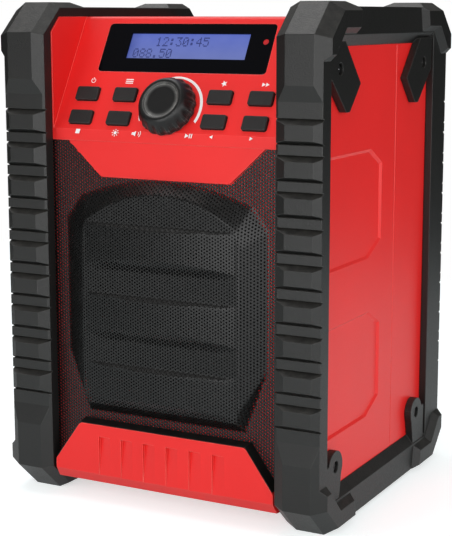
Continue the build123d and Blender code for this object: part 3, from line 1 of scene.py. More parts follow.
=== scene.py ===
# %% [markdown]
# # A jobsite radio, finished in Blender
#
# The radio is already built as a CAD model: a red housing of two moulded halves, carried between
# two black side frames with tyre-like treads. CAD is good at walls, hinges and screws. It is a poor
# place for thousands of small holes, for printed marks and for the way light falls on a grained
# surface, so that is what this lesson adds: a camera, soft light, a finish for each kind of
# surface, and the few pieces that are too fine for CAD.

# %% Load the fixed frame
import bpy
import bmesh
import json
from itertools import product
from math import atan2, cos, pi, radians, sin, sqrt
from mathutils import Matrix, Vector


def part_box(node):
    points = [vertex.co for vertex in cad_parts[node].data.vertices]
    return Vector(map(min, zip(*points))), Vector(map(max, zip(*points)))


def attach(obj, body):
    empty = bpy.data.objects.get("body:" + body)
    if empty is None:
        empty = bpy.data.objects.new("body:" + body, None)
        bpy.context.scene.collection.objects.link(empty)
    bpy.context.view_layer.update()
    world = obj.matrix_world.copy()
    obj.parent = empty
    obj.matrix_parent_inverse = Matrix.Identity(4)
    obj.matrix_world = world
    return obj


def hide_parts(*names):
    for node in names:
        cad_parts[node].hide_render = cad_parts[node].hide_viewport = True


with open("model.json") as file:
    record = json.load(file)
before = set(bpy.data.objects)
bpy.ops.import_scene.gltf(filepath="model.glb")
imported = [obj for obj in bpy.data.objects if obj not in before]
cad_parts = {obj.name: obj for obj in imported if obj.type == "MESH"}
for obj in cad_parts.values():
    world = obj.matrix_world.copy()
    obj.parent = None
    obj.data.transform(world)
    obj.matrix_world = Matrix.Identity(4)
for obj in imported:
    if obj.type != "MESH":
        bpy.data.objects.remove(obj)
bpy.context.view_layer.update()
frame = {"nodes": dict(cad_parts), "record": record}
scene = bpy.context.scene
nodes = frame["nodes"]
MM = 0.001

# %% [markdown]
# ## Camera
#
# A camera is the first thing to set, because everything after it is judged through it. This one is
# a long lens a little to the right of the radio and slightly above it, looking down by ten degrees.
# A long lens keeps upright edges nearly parallel, as in a catalogue picture. The small lens shift
# frames the radio without turning the camera, so those edges stay upright.

# %% Camera
camera_data = bpy.data.cameras.new("camera")
camera_data.sensor_width = 36.0
camera_data.lens = 94.94
camera_data.shift_x = -0.0222
camera_data.shift_y = -0.0090
camera_data.clip_start = 0.02
camera = bpy.data.objects.new("camera", camera_data)
scene.collection.objects.link(camera)
camera.location = (0.3796, -0.7167, 0.2681)
camera.rotation_euler = (radians(90.0 - 9.96), 0.0, radians(27.76))
scene.camera = camera
print("camera at", [round(v, 3) for v in camera.location])

# %% [markdown]
# ## Working by hand, from a script
#
# A modeller selects something and then uses a tool on it. A script does the same, but nothing is
# selected by eye, so a few small helpers keep that tidy. They empty the selection, pick one object,
# open it in edit mode and select the points, edges or faces that pass a test. The others finish a
# piece: they point its faces outwards, move its place into its mesh so that the object itself stays
# at the origin, turn modifiers into real geometry and join several objects into one.

# %% Helpers for selecting and finishing
def deselect_all():
    """Operators act on all that is selected, so each step starts with nothing selected."""
    if bpy.context.object and bpy.context.object.mode != "OBJECT":
        bpy.ops.object.mode_set(mode="OBJECT")
    bpy.ops.object.select_all(action="DESELECT")


def only(obj):
    """Select one object and make it the active one."""
    deselect_all()
    obj.select_set(True)
    bpy.context.view_layer.objects.active = obj


def edit(obj, kind="VERT"):
    """Open one object in edit mode, where points, edges or faces are picked."""
    only(obj)
    bpy.ops.object.mode_set(mode="EDIT")
    bpy.ops.mesh.select_mode(type=kind)


def select_where(obj, kind, test):
    """In edit mode, select the verts, edges or faces that pass a test, and nothing else."""
    bpy.ops.mesh.select_all(action="DESELECT")
    for part in getattr(bmesh.from_edit_mesh(obj.data), kind):
        part.select = test(part)
    bmesh.update_edit_mesh(obj.data)


def face_outwards():
    """Point all faces of the object in edit mode outwards, and leave edit mode."""
    bpy.ops.mesh.select_all(action="SELECT")
    bpy.ops.mesh.normals_make_consistent(inside=False)
    bpy.ops.object.mode_set(mode="OBJECT")


def place_in_mesh(obj):
    """Move an object's place, turn and size into its mesh, so that it sits at the origin."""
    only(obj)
    bpy.ops.object.transform_apply(location=True, rotation=True, scale=True)


def apply_modifiers(obj):
    """Turn each modifier into real geometry, in order."""
    only(obj)
    for modifier in list(obj.modifiers):
        bpy.ops.object.modifier_apply(modifier=modifier.name)


def join(objects):
    """Join several objects into the first of them."""
    deselect_all()
    for obj in objects:
        obj.select_set(True)
    bpy.context.view_layer.objects.active = objects[0]
    bpy.context.view_layer.update()
    bpy.ops.object.join()
    return objects[0]


# %% [markdown]
# ## Sums in a node tree
#
# Materials and the surroundings are node trees, and many of their nodes only do sums. The first
# helper places one sum. The second stretches one range of a value to another and holds it there,
# which is how a soft cause, such as a direction or a noise, becomes a clear mask.

# %% Helpers for sums in a node tree
def maths(tree, operation, first, second=0.5, third=None, clamp=False):
    """A Math node whose inputs are sockets or plain numbers."""
    node = tree.nodes.new("ShaderNodeMath")
    node.operation = operation
    node.use_clamp = clamp
    for index, value in enumerate((first, second, third)):
        if hasattr(value, "is_output"):
            tree.links.new(value, node.inputs[index])
        elif value is not None:
            node.inputs[index].default_value = value
    return node.outputs["Value"]


def spread(tree, value, low, high, to_low=0.0, to_high=1.0):
    """Stretch a range of a value to another range, clamped."""
    node = tree.nodes.new("ShaderNodeMapRange")
    labels = ("From Min", "From Max", "To Min", "To Max")
    for label, number in zip(labels, (low, high, to_low, to_high)):
        node.inputs[label].default_value = number
    tree.links.new(value, node.inputs["Value"])
    return node.outputs["Result"]


# %% [markdown]
# ## Floor
#
# The radio stands on a white studio table. A plain diffuse floor gives the soft light that rises
# from it and takes the radio's shadow. Its paint holds a little less red than green and blue, so
# that the red that the radio throws on it leaves the shadow neutral. A little emission, shown only
# to the camera and to reflections, lifts the floor to pure white without lighting the radio.
# The table is little more than a metre wide: beyond its edge the studio is dim, and that is why
# satin upright faces look pale near their foot and deeper higher up.

# %% Floor
floor_size = 1.3
deselect_all()
bpy.ops.mesh.primitive_grid_add(
    x_subdivisions=4, y_subdivisions=4, size=floor_size, location=(0.0, 0.0, 0.0))
floor = bpy.context.object
floor.name = "floor"
place_in_mesh(floor)
print("floor faces:", len(floor.data.polygons))

# %% Floor paint
floor_glow = 0.60
share_in_reflections = 0.65
floor_paint = bpy.data.materials.new("floor_white")
floor_paint.use_nodes = True
tree = floor_paint.node_tree
tree.nodes.clear()
out = tree.nodes.new("ShaderNodeOutputMaterial")
diffuse = tree.nodes.new("ShaderNodeBsdfDiffuse")
diffuse.inputs["Color"].default_value = (0.63, 0.70, 0.70, 1.0)
lift = tree.nodes.new("ShaderNodeEmission")
lift.inputs["Color"].default_value = (1.0, 1.0, 1.0, 1.0)
path = tree.nodes.new("ShaderNodeLightPath").outputs
seen = maths(tree, "MAXIMUM", path["Is Camera Ray"], path["Is Transmission Ray"])
shown = maths(tree, "MULTIPLY_ADD", path["Is Glossy Ray"], share_in_reflections, seen)
tree.links.new(maths(tree, "MULTIPLY", shown, floor_glow), lift.inputs["Strength"])
both = tree.nodes.new("ShaderNodeAddShader")
tree.links.new(diffuse.outputs["BSDF"], both.inputs[0])
tree.links.new(lift.outputs["Emission"], both.inputs[1])
tree.links.new(both.outputs["Shader"], out.inputs["Surface"])
floor.data.materials.append(floor_paint)
print("floor paint nodes:", len(tree.nodes))

# %% [markdown]
# ## Surroundings
#
# What a glossy surface shows is its surroundings, so they are chosen as carefully as the lamps. The
# camera and clear plastic see plain white. Everything matt gets an even, weak fill. Reflections see a
# dim studio, a grey ceiling and three bright reflectors. Two stand low, one straight in front and
# one to the right: they give upright front faces and their chamfers a soft sheen and leave the right
# side of the radio deep in colour. The third is high up behind and draws a fine light line along the
# upper edges. Each is a direction, how near to it the light begins and is full, and how bright it is.

# %% World: white to the camera, a weak fill for matt surfaces
world = bpy.data.worlds.new("studio")
scene.world = world
world.use_nodes = True
tree = world.node_tree
tree.nodes.clear()


def background(red, green, blue, strength):
    """One even surrounding light."""
    node = tree.nodes.new("ShaderNodeBackground")
    node.inputs["Color"].default_value = (red, green, blue, 1.0)
    node.inputs["Strength"].default_value = strength
    return node


def choose(factor, first, second):
    """The first shader where the factor is 0, the second where it is 1."""
    node = tree.nodes.new("ShaderNodeMixShader")
    for socket, value in zip(node.inputs, (factor, first, second)):
        tree.links.new(value, socket)
    return node.outputs["Shader"]


white = background(1.0, 1.0, 1.0, 1.0)
fill = background(0.97, 0.98, 1.0, 0.40)
mirrored = background(0.8, 0.8, 0.8, 1.0)
path = tree.nodes.new("ShaderNodeLightPath").outputs
seen = maths(tree, "MAXIMUM", path["Is Camera Ray"], path["Is Transmission Ray"])
for_gloss = choose(path["Is Glossy Ray"], fill.outputs["Background"], mirrored.outputs["Background"])
out = tree.nodes.new("ShaderNodeOutputWorld")
tree.links.new(choose(seen, for_gloss, white.outputs["Background"]), out.inputs["Surface"])
print("world nodes:", len(tree.nodes))

# %% World: what reflections see
direction = tree.nodes.new("ShaderNodeTexCoord").outputs["Generated"]
split = tree.nodes.new("ShaderNodeSeparateXYZ")
tree.links.new(direction, split.inputs["Vector"])
total = spread(tree, split.outputs["Z"], 0.25, 0.75, 0.03, 0.45)
reflectors = [
    ((-0.15, -0.985, -0.08), 0.945, 0.99, 8.5),
    ((0.66, -0.75, -0.04), 0.87, 0.96, 3.8),
    ((-0.45, 0.42, 0.79), 0.93, 0.98, 3.0),
]
for centre, edge, core, glow in reflectors:
    towards = tree.nodes.new("ShaderNodeVectorMath")
    towards.operation = "DOT_PRODUCT"
    towards.inputs[1].default_value = centre
    tree.links.new(direction, towards.inputs[0])
    total = maths(tree, "ADD", total, spread(tree, towards.outputs["Value"], edge, core, 0.0, glow))
tree.links.new(total, mirrored.inputs["Strength"])
print("world nodes with reflectors:", len(tree.nodes))

# %% [markdown]
# ## Lamps
#
# Large soft lamps stand in for softboxes. Their size, not their strength, is what makes a shadow
# gentle. Two stand in front, one to each side, so that each pillar shades a little of the grille
# beside it; the left one is kept out of reflections. Another lights the right side, and the last
# hangs above so that the top slopes show their shape.

# %% Lamps
def softbox(name, place, aim, width, height, power):
    """A rectangular area lamp at a place, turned towards a point."""
    data = bpy.data.lights.new(name, "AREA")
    data.shape = "RECTANGLE"
    data.size = width
    data.size_y = height
    data.energy = power
    lamp = bpy.data.objects.new(name, data)
    scene.collection.objects.link(lamp)
    lamp.location = place
    towards = Vector(aim) - Vector(place)
    lamp.rotation_euler = towards.to_track_quat("-Z", "Y").to_euler()
    return lamp


radio_middle = (0.0, 0.0, 0.13)
softbox("front_softbox", (0.45, -1.6, 0.60), radio_middle, 1.2, 0.9, 11.0)
left_fill = softbox("left_softbox", (-0.9, -1.4, 0.60), radio_middle, 0.9, 0.9, 8.0)
left_fill.visible_glossy = False
softbox("right_softbox", (1.7, -0.3, 0.45), (0.0, 0.0, 0.10), 1.0, 0.8, 12.5)
softbox("top_softbox", (-0.35, 0.0, 1.7), (0.0, 0.0, 0.1), 1.0, 1.0, 8.0)
scene.view_settings.view_transform = "Standard"

# %% [markdown]
# ## Effects that several finishes share
#
# Most of this radio is injection moulded, and moulded surfaces have a few things in common: a fine
# spark-eroded grain from the mould, edges that are rounded and rubbed a little lighter, hairline
# scuffs from use, and dust that settles on what faces up. The same edge mask also carries painted
# highlights: on some finishes the pale edge colour stands for light caught by the rounding, not for
# wear. Each effect is built once as a node group. A group gives out only masks, tones and heights;
# the material that uses it decides what colour or roughness they mean.

# %% Helpers for node groups
def colour(red, green, blue):
    """A colour as picked on a screen, 0 to 255, turned into the linear values that nodes use."""
    return tuple(((c / 255.0 + 0.055) / 1.055) ** 2.4 if c > 10 else c / 255.0 / 12.92
                 for c in (red, green, blue)) + (1.0,)


def new_group(name, inputs, outputs):
    """An empty shader group with number inputs (name, default) and number outputs."""
    group = bpy.data.node_groups.new(name, "ShaderNodeTree")
    for label, default in inputs:
        socket = group.interface.new_socket(name=label, in_out="INPUT", socket_type="NodeSocketFloat")
        socket.default_value = default
    for label in outputs:
        group.interface.new_socket(name=label, in_out="OUTPUT", socket_type="NodeSocketFloat")
    return group, group.nodes.new("NodeGroupInput"), group.nodes.new("NodeGroupOutput")


def object_place(tree):
    """The place on the object, in metres."""
    return tree.nodes.new("ShaderNodeTexCoord").outputs["Object"]


def noise(tree, scale, detail=2.0, roughness=0.5, stretch=None):
    """Noise on object coordinates; the scale is a number or a socket, per metre."""
    place = object_place(tree)
    if stretch:
        mapping = tree.nodes.new("ShaderNodeMapping")
        mapping.inputs["Scale"].default_value = stretch
        tree.links.new(place, mapping.inputs["Vector"])
        place = mapping.outputs["Vector"]
    texture = tree.nodes.new("ShaderNodeTexNoise")
    texture.inputs["Detail"].default_value = detail
    texture.inputs["Roughness"].default_value = roughness
    if hasattr(scale, "is_output"):
        tree.links.new(scale, texture.inputs["Scale"])
    else:
        texture.inputs["Scale"].default_value = scale
    tree.links.new(place, texture.inputs["Vector"])
    return texture.outputs["Fac"]


# %% [markdown]
# ### Moulded grain
#
# Grain can be painted, displaced or bumped. Bump is right for something a tenth of a millimetre
# high: it changes how light falls and costs no geometry. Noise gives the soft part of the grain and
# small cells the sharp part, and a second, very large noise gives the slight unevenness of tone
# that keeps a wide moulded wall from looking like paper.

# %% Moulded grain
moulded_grain, given, result = new_group("moulded_grain", [("Fineness", 900.0)], ["Height", "Tone"])
soft = noise(moulded_grain, given.outputs["Fineness"], 3.0, 0.6)
cells = moulded_grain.nodes.new("ShaderNodeTexVoronoi")
moulded_grain.links.new(object_place(moulded_grain), cells.inputs["Vector"])
moulded_grain.links.new(given.outputs["Fineness"], cells.inputs["Scale"])
height = maths(moulded_grain, "MULTIPLY_ADD", cells.outputs["Distance"], 0.6, soft)
moulded_grain.links.new(height, result.inputs["Height"])
tone = spread(moulded_grain, noise(moulded_grain, 16.0, 3.0), 0.3, 0.7)
moulded_grain.links.new(tone, result.inputs["Tone"])
print("moulded_grain nodes:", len(moulded_grain.nodes))

# %% [markdown]
# ### Worn edges and painted edge highlights
#
# A Bevel node looks up the normal that the surface would have if its edges were rounded. Where that
# differs from the true normal there is an edge, convex or concave. The difference makes a mask, and
# noise breaks it up because hands and tool bags never rub evenly. Where a finish mixes a pale colour
# in by this mask to stand for light caught along its edges, as on the housing and the knob, the mask
# paints a highlight rather than wear.

# %% Worn edges and painted edge highlights
bevel_samples = 6
edges_worn_and_lit, given, result = new_group(
    "edges_worn_and_lit", [("Reach", 0.0006), ("Evenness", 0.5)], ["Edge"])
rounded = edges_worn_and_lit.nodes.new("ShaderNodeBevel")
rounded.samples = bevel_samples
edges_worn_and_lit.links.new(given.outputs["Reach"], rounded.inputs["Radius"])
true_shape = edges_worn_and_lit.nodes.new("ShaderNodeNewGeometry")
compare = edges_worn_and_lit.nodes.new("ShaderNodeVectorMath")
compare.operation = "DOT_PRODUCT"
edges_worn_and_lit.links.new(rounded.outputs["Normal"], compare.inputs[0])
edges_worn_and_lit.links.new(true_shape.outputs["True Normal"], compare.inputs[1])
turned = spread(edges_worn_and_lit, compare.outputs["Value"], 0.995, 0.86)
patches = spread(edges_worn_and_lit, noise(edges_worn_and_lit, 130.0, 4.0, 0.65), 0.34, 0.66)
kept = maths(edges_worn_and_lit, "MAXIMUM", patches, given.outputs["Evenness"])
edges_worn_and_lit.links.new(maths(edges_worn_and_lit, "MULTIPLY", turned, kept), result.inputs["Edge"])
print("edges_worn_and_lit nodes:", len(edges_worn_and_lit.nodes))

# %% [markdown]
# ### Hairline scuffs and settled dust
#
# Scuffs are noise squeezed hard along one direction, of which only the crests are kept. Dust is a
# mask of how far a surface faces up, broken by noise. Both stay faint: the radio is new, and an
# effect that can be seen at once is too strong.

# %% Scuffs and dust
hairline_scuffs, given, result = new_group("hairline_scuffs", [("Density", 0.5)], ["Scuff"])
long_way = noise(hairline_scuffs, 90.0, 2.0, 0.5, (1.0, 9.0, 14.0))
other_way = noise(hairline_scuffs, 110.0, 2.0, 0.5, (12.0, 8.0, 0.9))
crests = maths(hairline_scuffs, "MAXIMUM", spread(hairline_scuffs, long_way, 0.66, 0.72),
               spread(hairline_scuffs, other_way, 0.67, 0.73))
where = spread(hairline_scuffs, noise(hairline_scuffs, 22.0, 2.0), 0.45, 0.62)
scuff = maths(hairline_scuffs, "MULTIPLY", crests, where)
scuff = maths(hairline_scuffs, "MULTIPLY", scuff, given.outputs["Density"])
hairline_scuffs.links.new(scuff, result.inputs["Scuff"])

settled_dust, given, result = new_group("settled_dust", [("Amount", 0.1)], ["Dust"])
facing = settled_dust.nodes.new("ShaderNodeSeparateXYZ")
settled_dust.links.new(
    settled_dust.nodes.new("ShaderNodeNewGeometry").outputs["Normal"], facing.inputs["Vector"])
upward = spread(settled_dust, facing.outputs["Z"], 0.35, 0.95)
specks = spread(settled_dust, noise(settled_dust, 240.0, 6.0, 0.75), 0.36, 0.68)
dust = maths(settled_dust, "MULTIPLY", upward, specks)
dust = maths(settled_dust, "MULTIPLY", dust, given.outputs["Amount"])
settled_dust.links.new(dust, result.inputs["Dust"])
print("groups:", [group.name for group in bpy.data.node_groups])

# %% [markdown]
# ## A finish in one call
#
# The finishes differ in numbers more than in kind, so one function lays out the nodes that all
# moulded, rubber and painted surfaces share: base colour varied by the grain's tone, edges mixed
# towards a lighter colour, dust over that, roughness moved a little by grain and scuffs, and bump
# from the grain. Numbers that are the same all over a surface are set on the shader itself. Each
# finish is kept in a dictionary under the name of its slot.

# %% Building blocks of a finish
finishes = {}
dust_grey = colour(176, 170, 160)


def group_outputs(tree, group, **values):
    """Place a shared group in a material and return its outputs."""
    node = tree.nodes.new("ShaderNodeGroup")
    node.node_tree = group
    for label, value in values.items():
        node.inputs[label].default_value = value
    return node.outputs


def mix_colours(tree, factor, first, second):
    """Mix two colours, each a socket or a plain colour, by a mask."""
    node = tree.nodes.new("ShaderNodeMix")
    node.data_type = "RGBA"
    tree.links.new(factor, node.inputs["Factor"])
    for label, value in (("A", first), ("B", second)):
        socket = next(s for s in node.inputs if s.name == label and s.type == "RGBA")
        if hasattr(value, "is_output"):
            tree.links.new(value, socket)
        else:
            socket.default_value = value
    return next(s for s in node.outputs if s.type == "RGBA")


def coloured(tree, shader, target, factor, first, second):
    """Feed a mix of two colours into one of the shader's inputs."""
    tree.links.new(mix_colours(tree, factor, first, second), shader.inputs[target])


def bumped(tree, shader, height, strength, distance=0.0002):
    """Feed a height into the shader's normal."""
    bump = tree.nodes.new("ShaderNodeBump")
    bump.inputs["Strength"].default_value = strength
    bump.inputs["Distance"].default_value = distance
    tree.links.new(height, bump.inputs["Height"])
    tree.links.new(bump.outputs["Normal"], shader.inputs["Normal"])
    return bump


def new_finish(name, roughness=0.5, specular=0.5, metallic=0.0, coat=0.0):
    """A material with a plain Principled shader; the constants go on its own sockets."""
    finishes[name] = bpy.data.materials.new(name)
    finishes[name].use_nodes = True
    tree = finishes[name].node_tree
    shader = next(n for n in tree.nodes if n.type == "BSDF_PRINCIPLED")
    shader.inputs["Roughness"].default_value = roughness
    shader.inputs["Specular IOR Level"].default_value = specular
    shader.inputs["Metallic"].default_value = metallic
    shader.inputs["Coat Weight"].default_value = coat
    shader.inputs["Coat Roughness"].default_value = 0.12
    return tree, shader


def moulded(name, base, edge, roughness, specular=0.5, fineness=900.0, grain=0.25,
            reach=0.0006, wear_and_highlight=0.5, tone=0.10, dust=0.08, scuffs=0.4, rounding=0.0):
    """A moulded, rubber or painted finish from the shared effects."""
    tree, shader = new_finish(name, roughness, specular)
    surface = group_outputs(tree, moulded_grain, Fineness=fineness)
    darker = tuple(c * (1.0 - tone) for c in base[:3]) + (1.0,)
    lighter = tuple(min(1.0, c * (1.0 + tone)) for c in base[:3]) + (1.0,)
    shade = mix_colours(tree, surface["Tone"], darker, lighter)
    # The edge colour mixed in here is wear on some finishes and a painted highlight on others.
    rubbed_or_lit = maths(tree, "MULTIPLY", group_outputs(tree, edges_worn_and_lit, Reach=reach)["Edge"], wear_and_highlight)
    shade = mix_colours(tree, rubbed_or_lit, shade, edge)
    settled = group_outputs(tree, settled_dust, Amount=dust)["Dust"]
    coloured(tree, shader, "Base Color", settled, shade, dust_grey)
    uneven = spread(tree, surface["Height"], 0.3, 1.1, roughness - 0.05, roughness + 0.05)
    scuffed = group_outputs(tree, hairline_scuffs, Density=scuffs)["Scuff"]
    rough = maths(tree, "MULTIPLY_ADD", scuffed, -0.12, uneven)
    rough = maths(tree, "MULTIPLY_ADD", settled, 0.3, rough, clamp=True)
    tree.links.new(rough, shader.inputs["Roughness"])
    bump = bumped(tree, shader, surface["Height"], grain)
    if rounding:
        soft_edges = tree.nodes.new("ShaderNodeBevel")
        soft_edges.samples = bevel_samples
        soft_edges.inputs["Radius"].default_value = rounding
        tree.links.new(soft_edges.outputs["Normal"], bump.inputs["Normal"])


# %% [markdown]
# ## Housing and frames
#
# The housing is red ABS with a satin texture. Its edges are rounded by half a millimetre, which CAD
# leaves out: the Bevel node supplies that rounding where light catches it. On top of that a pale pink
# edge colour is mixed in along each edge and crease, a painted highlight. The frames are hard
# charcoal rubber, coarser in grain, duller, and lighter where their many corners have been handled.

# %% Housing and frame finishes
# The housing's pale pink edge colour is a painted highlight along its edges and creases.
moulded(
    "housing_red", colour(226, 33, 31), colour(255, 140, 128), 0.40, specular=0.42, fineness=1500.0,
    grain=0.10, reach=0.0006, wear_and_highlight=0.6, tone=0.035, dust=0.03, scuffs=0.3, rounding=0.0005)
moulded(
    "frame_black", colour(25, 25, 24), colour(96, 95, 92), 0.42, specular=0.34, fineness=1100.0,
    grain=0.30, reach=0.0007, wear_and_highlight=0.38, tone=0.10, dust=0.07, scuffs=0.5, rounding=0.0006)

# %% [markdown]
# ## Knob, keys, covers and seals
#
# All are black, and telling blacks apart is a matter of gloss and grain. The knob is satin; the clear
# light line round its rim and dish is a painted highlight, a pale edge colour mixed in at full
# strength. The keys are matt silicone. The socket cover is soft rubber, and the seal is duller still.

# %% Black controls and rubbers
# The knob's pale edge colour, at full strength, is a painted highlight round its rim and dish.
moulded(
    "knob_black", colour(14, 14, 14), colour(205, 203, 198), 0.38, specular=0.32, fineness=1700.0,
    grain=0.14, reach=0.0004, wear_and_highlight=1.0, tone=0.10, dust=0.02, scuffs=0.3, rounding=0.0003)
moulded(
    "key_rubber", colour(24, 22, 22), colour(92, 86, 84), 0.62, specular=0.35, fineness=2200.0,
    grain=0.20, reach=0.0004, wear_and_highlight=0.5, tone=0.08, dust=0.03, scuffs=0.1, rounding=0.0003)
moulded(
    "cover_rubber", colour(38, 38, 38), colour(84, 84, 82), 0.66, specular=0.35, fineness=1300.0,
    grain=0.30, reach=0.0006, wear_and_highlight=0.4, tone=0.10, dust=0.08, scuffs=0.2, rounding=0.0004)
moulded(
    "seal_rubber", colour(28, 28, 28), colour(50, 50, 50), 0.78, specular=0.3, fineness=900.0,
    grain=0.3, wear_and_highlight=0.2, dust=0.04)
moulded(
    "inner_black", colour(26, 26, 27), colour(88, 88, 86), 0.52, specular=0.4, fineness=1300.0,
    grain=0.22, reach=0.0005, wear_and_highlight=0.4, dust=0.06, rounding=0.0003)
moulded(
    "cone_black", colour(20, 20, 22), colour(44, 44, 46), 0.70, specular=0.3, fineness=420.0,
    grain=0.45, wear_and_highlight=0.2, dust=0.03)
moulded(
    "grille_black", colour(13, 13, 13), colour(84, 83, 81), 0.34, specular=0.30, fineness=2600.0,
    grain=0.10, reach=0.0003, wear_and_highlight=0.35, tone=0.10, dust=0.03, scuffs=0.2)
print("finishes so far:", len(finishes))

# %% [markdown]
# ## Metals
#
# A metal's colour comes from its reflections, so its base colour is the tint of those and its
# Metallic is one. What makes it steel, cast iron or chrome is how those reflections are broken:
# turning marks from noise stretched one way, or nothing at all on the polished antenna. The frame
# screws are black-passivated, as they are on tools that must not glint.

# %% Metal finishes
def metal(name, base, dull, roughness, stretch, grain=0.15, scale=260.0):
    """Bare or plated metal with marks along one direction."""
    tree, shader = new_finish(name, roughness, 0.5, 1.0)
    marks = noise(tree, scale, 3.0, 0.6, stretch)
    stains = spread(tree, noise(tree, 60.0, 4.0, 0.6), 0.42, 0.68)
    edge = group_outputs(tree, edges_worn_and_lit, Reach=0.0004)["Edge"]
    shade = mix_colours(tree, stains, base, dull)
    lit_edge = tuple(min(1.0, c * 1.25) for c in base[:3]) + (1.0,)
    coloured(tree, shader, "Base Color", edge, shade, lit_edge)
    rough = spread(tree, marks, 0.25, 0.75, roughness * 0.8, roughness * 1.25)
    tree.links.new(rough, shader.inputs["Roughness"])
    bumped(tree, shader, marks, grain, 0.00005)


even, across_z = (1.0, 1.0, 1.0), (1.0, 1.0, 9.0)
across_x, along_z = (6.0, 1.0, 1.0), (1.0, 1.0, 0.12)
metal("screw_steel", colour(92, 92, 94), colour(62, 61, 60), 0.38, even)
metal("encoder_metal", colour(196, 196, 198), colour(160, 160, 158), 0.30, across_z)
metal("contact_metal", colour(214, 206, 184), colour(176, 160, 124), 0.30, across_x)
metal("magnet", colour(92, 90, 88), colour(64, 60, 58), 0.62, even, 0.35, 700.0)
metal("antenna_chrome", colour(228, 229, 231), colour(206, 207, 210), 0.10, along_z, 0.03)
moulded(
    "basket_steel", colour(44, 44, 45), colour(120, 120, 118), 0.42, specular=0.5, fineness=1500.0,
    grain=0.2, wear_and_highlight=0.4)

# %% [markdown]
# ## Display, lamp and circuit boards
#
# The lens is a piece of high-gloss black plastic let into the panel. The screen behind its window
# is lit unevenly: it is greyer at its foot and a deeper blue at its top. Along its left edge it is
# darker, a painted shade of the window's edge. Two gradients carry that, one over X and one over the
# height Z of the object coordinates. The emission colour varies, while its strength is one plain
# number.

# %% Display and lamp finishes
tree, shader = new_finish("lens_black", 0.10, 0.08)
fine = noise(tree, 340.0, 5.0, 0.7)
coloured(tree, shader, "Base Color", fine, colour(4, 4, 7), colour(8, 8, 11))
scuffed = group_outputs(tree, hairline_scuffs, Density=0.6)["Scuff"]
smooth = spread(tree, fine, 0.3, 0.7, 0.07, 0.12)
tree.links.new(maths(tree, "MULTIPLY_ADD", scuffed, 0.12, smooth), shader.inputs["Roughness"])
bumped(tree, shader, fine, 0.02)

tree, shader = new_finish("lcd_glass", 0.16, 0.35)
across = tree.nodes.new("ShaderNodeSeparateXYZ")
tree.links.new(object_place(tree), across.inputs["Vector"])
screen_left = -36.0 * MM
painted_shade_width = 7.0 * MM
screen_foot, screen_top = 244.0 * MM, 260.0 * MM
from_left = spread(tree, across.outputs["X"], screen_left, screen_left + painted_shade_width)
upward = spread(tree, across.outputs["Z"], screen_foot, screen_top)
mottled = noise(tree, 120.0, 2.0)
blue = mix_colours(tree, upward, colour(110, 122, 184), colour(84, 104, 204))
# Painted shade: a darker blue emission along the screen's left edge.
blue = mix_colours(tree, from_left, colour(62, 78, 158), blue)
pale = spread(tree, mottled, 0.3, 0.8, 0.0, 0.25)
coloured(tree, shader, "Emission Color", pale, blue, colour(122, 134, 200))
shader.inputs["Emission Strength"].default_value = 0.72
coloured(tree, shader, "Base Color", mottled, colour(44, 52, 84), colour(52, 60, 96))

tree, shader = new_finish("led_red", 0.22, 0.6, coat=0.3)
ripple = noise(tree, 900.0, 2.0)
coloured(tree, shader, "Base Color", ripple, colour(120, 6, 10), colour(150, 12, 18))
coloured(tree, shader, "Emission Color", ripple, colour(235, 10, 16), colour(250, 34, 38))
shader.inputs["Emission Strength"].default_value = 0.28

# %% Circuit board finish
tree, shader = new_finish("board_green", 0.34, 0.5)
weave = tree.nodes.new("ShaderNodeTexBrick")
weave.inputs["Scale"].default_value = 260.0
weave.inputs["Mortar Size"].default_value = 0.06
weave.inputs["Color1"].default_value = colour(30, 96, 52)
weave.inputs["Color2"].default_value = colour(26, 86, 46)
weave.inputs["Mortar"].default_value = colour(40, 118, 66)
tree.links.new(object_place(tree), weave.inputs["Vector"])
tree.links.new(weave.outputs["Color"], shader.inputs["Base Color"])
bumped(tree, shader, weave.outputs["Fac"], 0.1)
print("finishes:", len(finishes))

# %% [markdown]
# ## Dress the CAD nodes
#
# Every CAD node keeps its shape and gets the finish of its material slot. The record that came with
# the model says which slot each node has, so the dictionary of finishes is all that is needed.

# %% Dress the CAD nodes
for row in frame["record"]["subparts"]:
    for slot in nodes[row["node"]].material_slots:
        slot.material = finishes[row["material_slot"]]

# %% [markdown]
# ## The perforated speaker grille
#
# The grille is a thin steel sheet, punched full of round holes a millimetre wide and then pressed
# into a pillow with three bands. A picture of holes would look flat from the side, so the holes are
# real. Punching thousands of them with booleans would take minutes. It is quicker to model one cell
# of the pattern, a hexagon with a hole, and let Array modifiers lay it out; hexagons tile without
# gaps. The flat sheet is then cut to its outline, pressed onto the CAD grille's own form by a
# Shrinkwrap modifier, and only then given the depth of its holes.
#
# The cell keeps to six sides round the hole, because there are thousands: at that size a rounder
# hole would cost a lot and show nothing.

# %% One cell
hole_step = 1.793 * MM
column_step = hole_step * sqrt(3.0) / 2.0
cell_corner = hole_step / sqrt(3.0)
hole_corner = 0.57 * MM
deselect_all()
bpy.ops.mesh.primitive_circle_add(vertices=6, radius=cell_corner, fill_type="NGON")
grille_sheet = bpy.context.object
grille_sheet.name = "grille_sheet"
grille_sheet.rotation_euler = (0.0, 0.0, radians(30.0))
place_in_mesh(grille_sheet)
edit(grille_sheet)
bpy.ops.mesh.select_all(action="SELECT")
bpy.ops.mesh.inset(thickness=(cell_corner - hole_corner) * cos(radians(30.0)))
bpy.ops.mesh.delete(type="ONLY_FACE")
bpy.ops.object.mode_set(mode="OBJECT")
print("cell faces:", len(grille_sheet.data.polygons))

# %% [markdown]
# The cell is laid out in three arrays: up a column, across to the neighbouring column half a step
# higher, and then that pair of columns across the whole sheet. Merging as it goes makes one sheet
# of it.

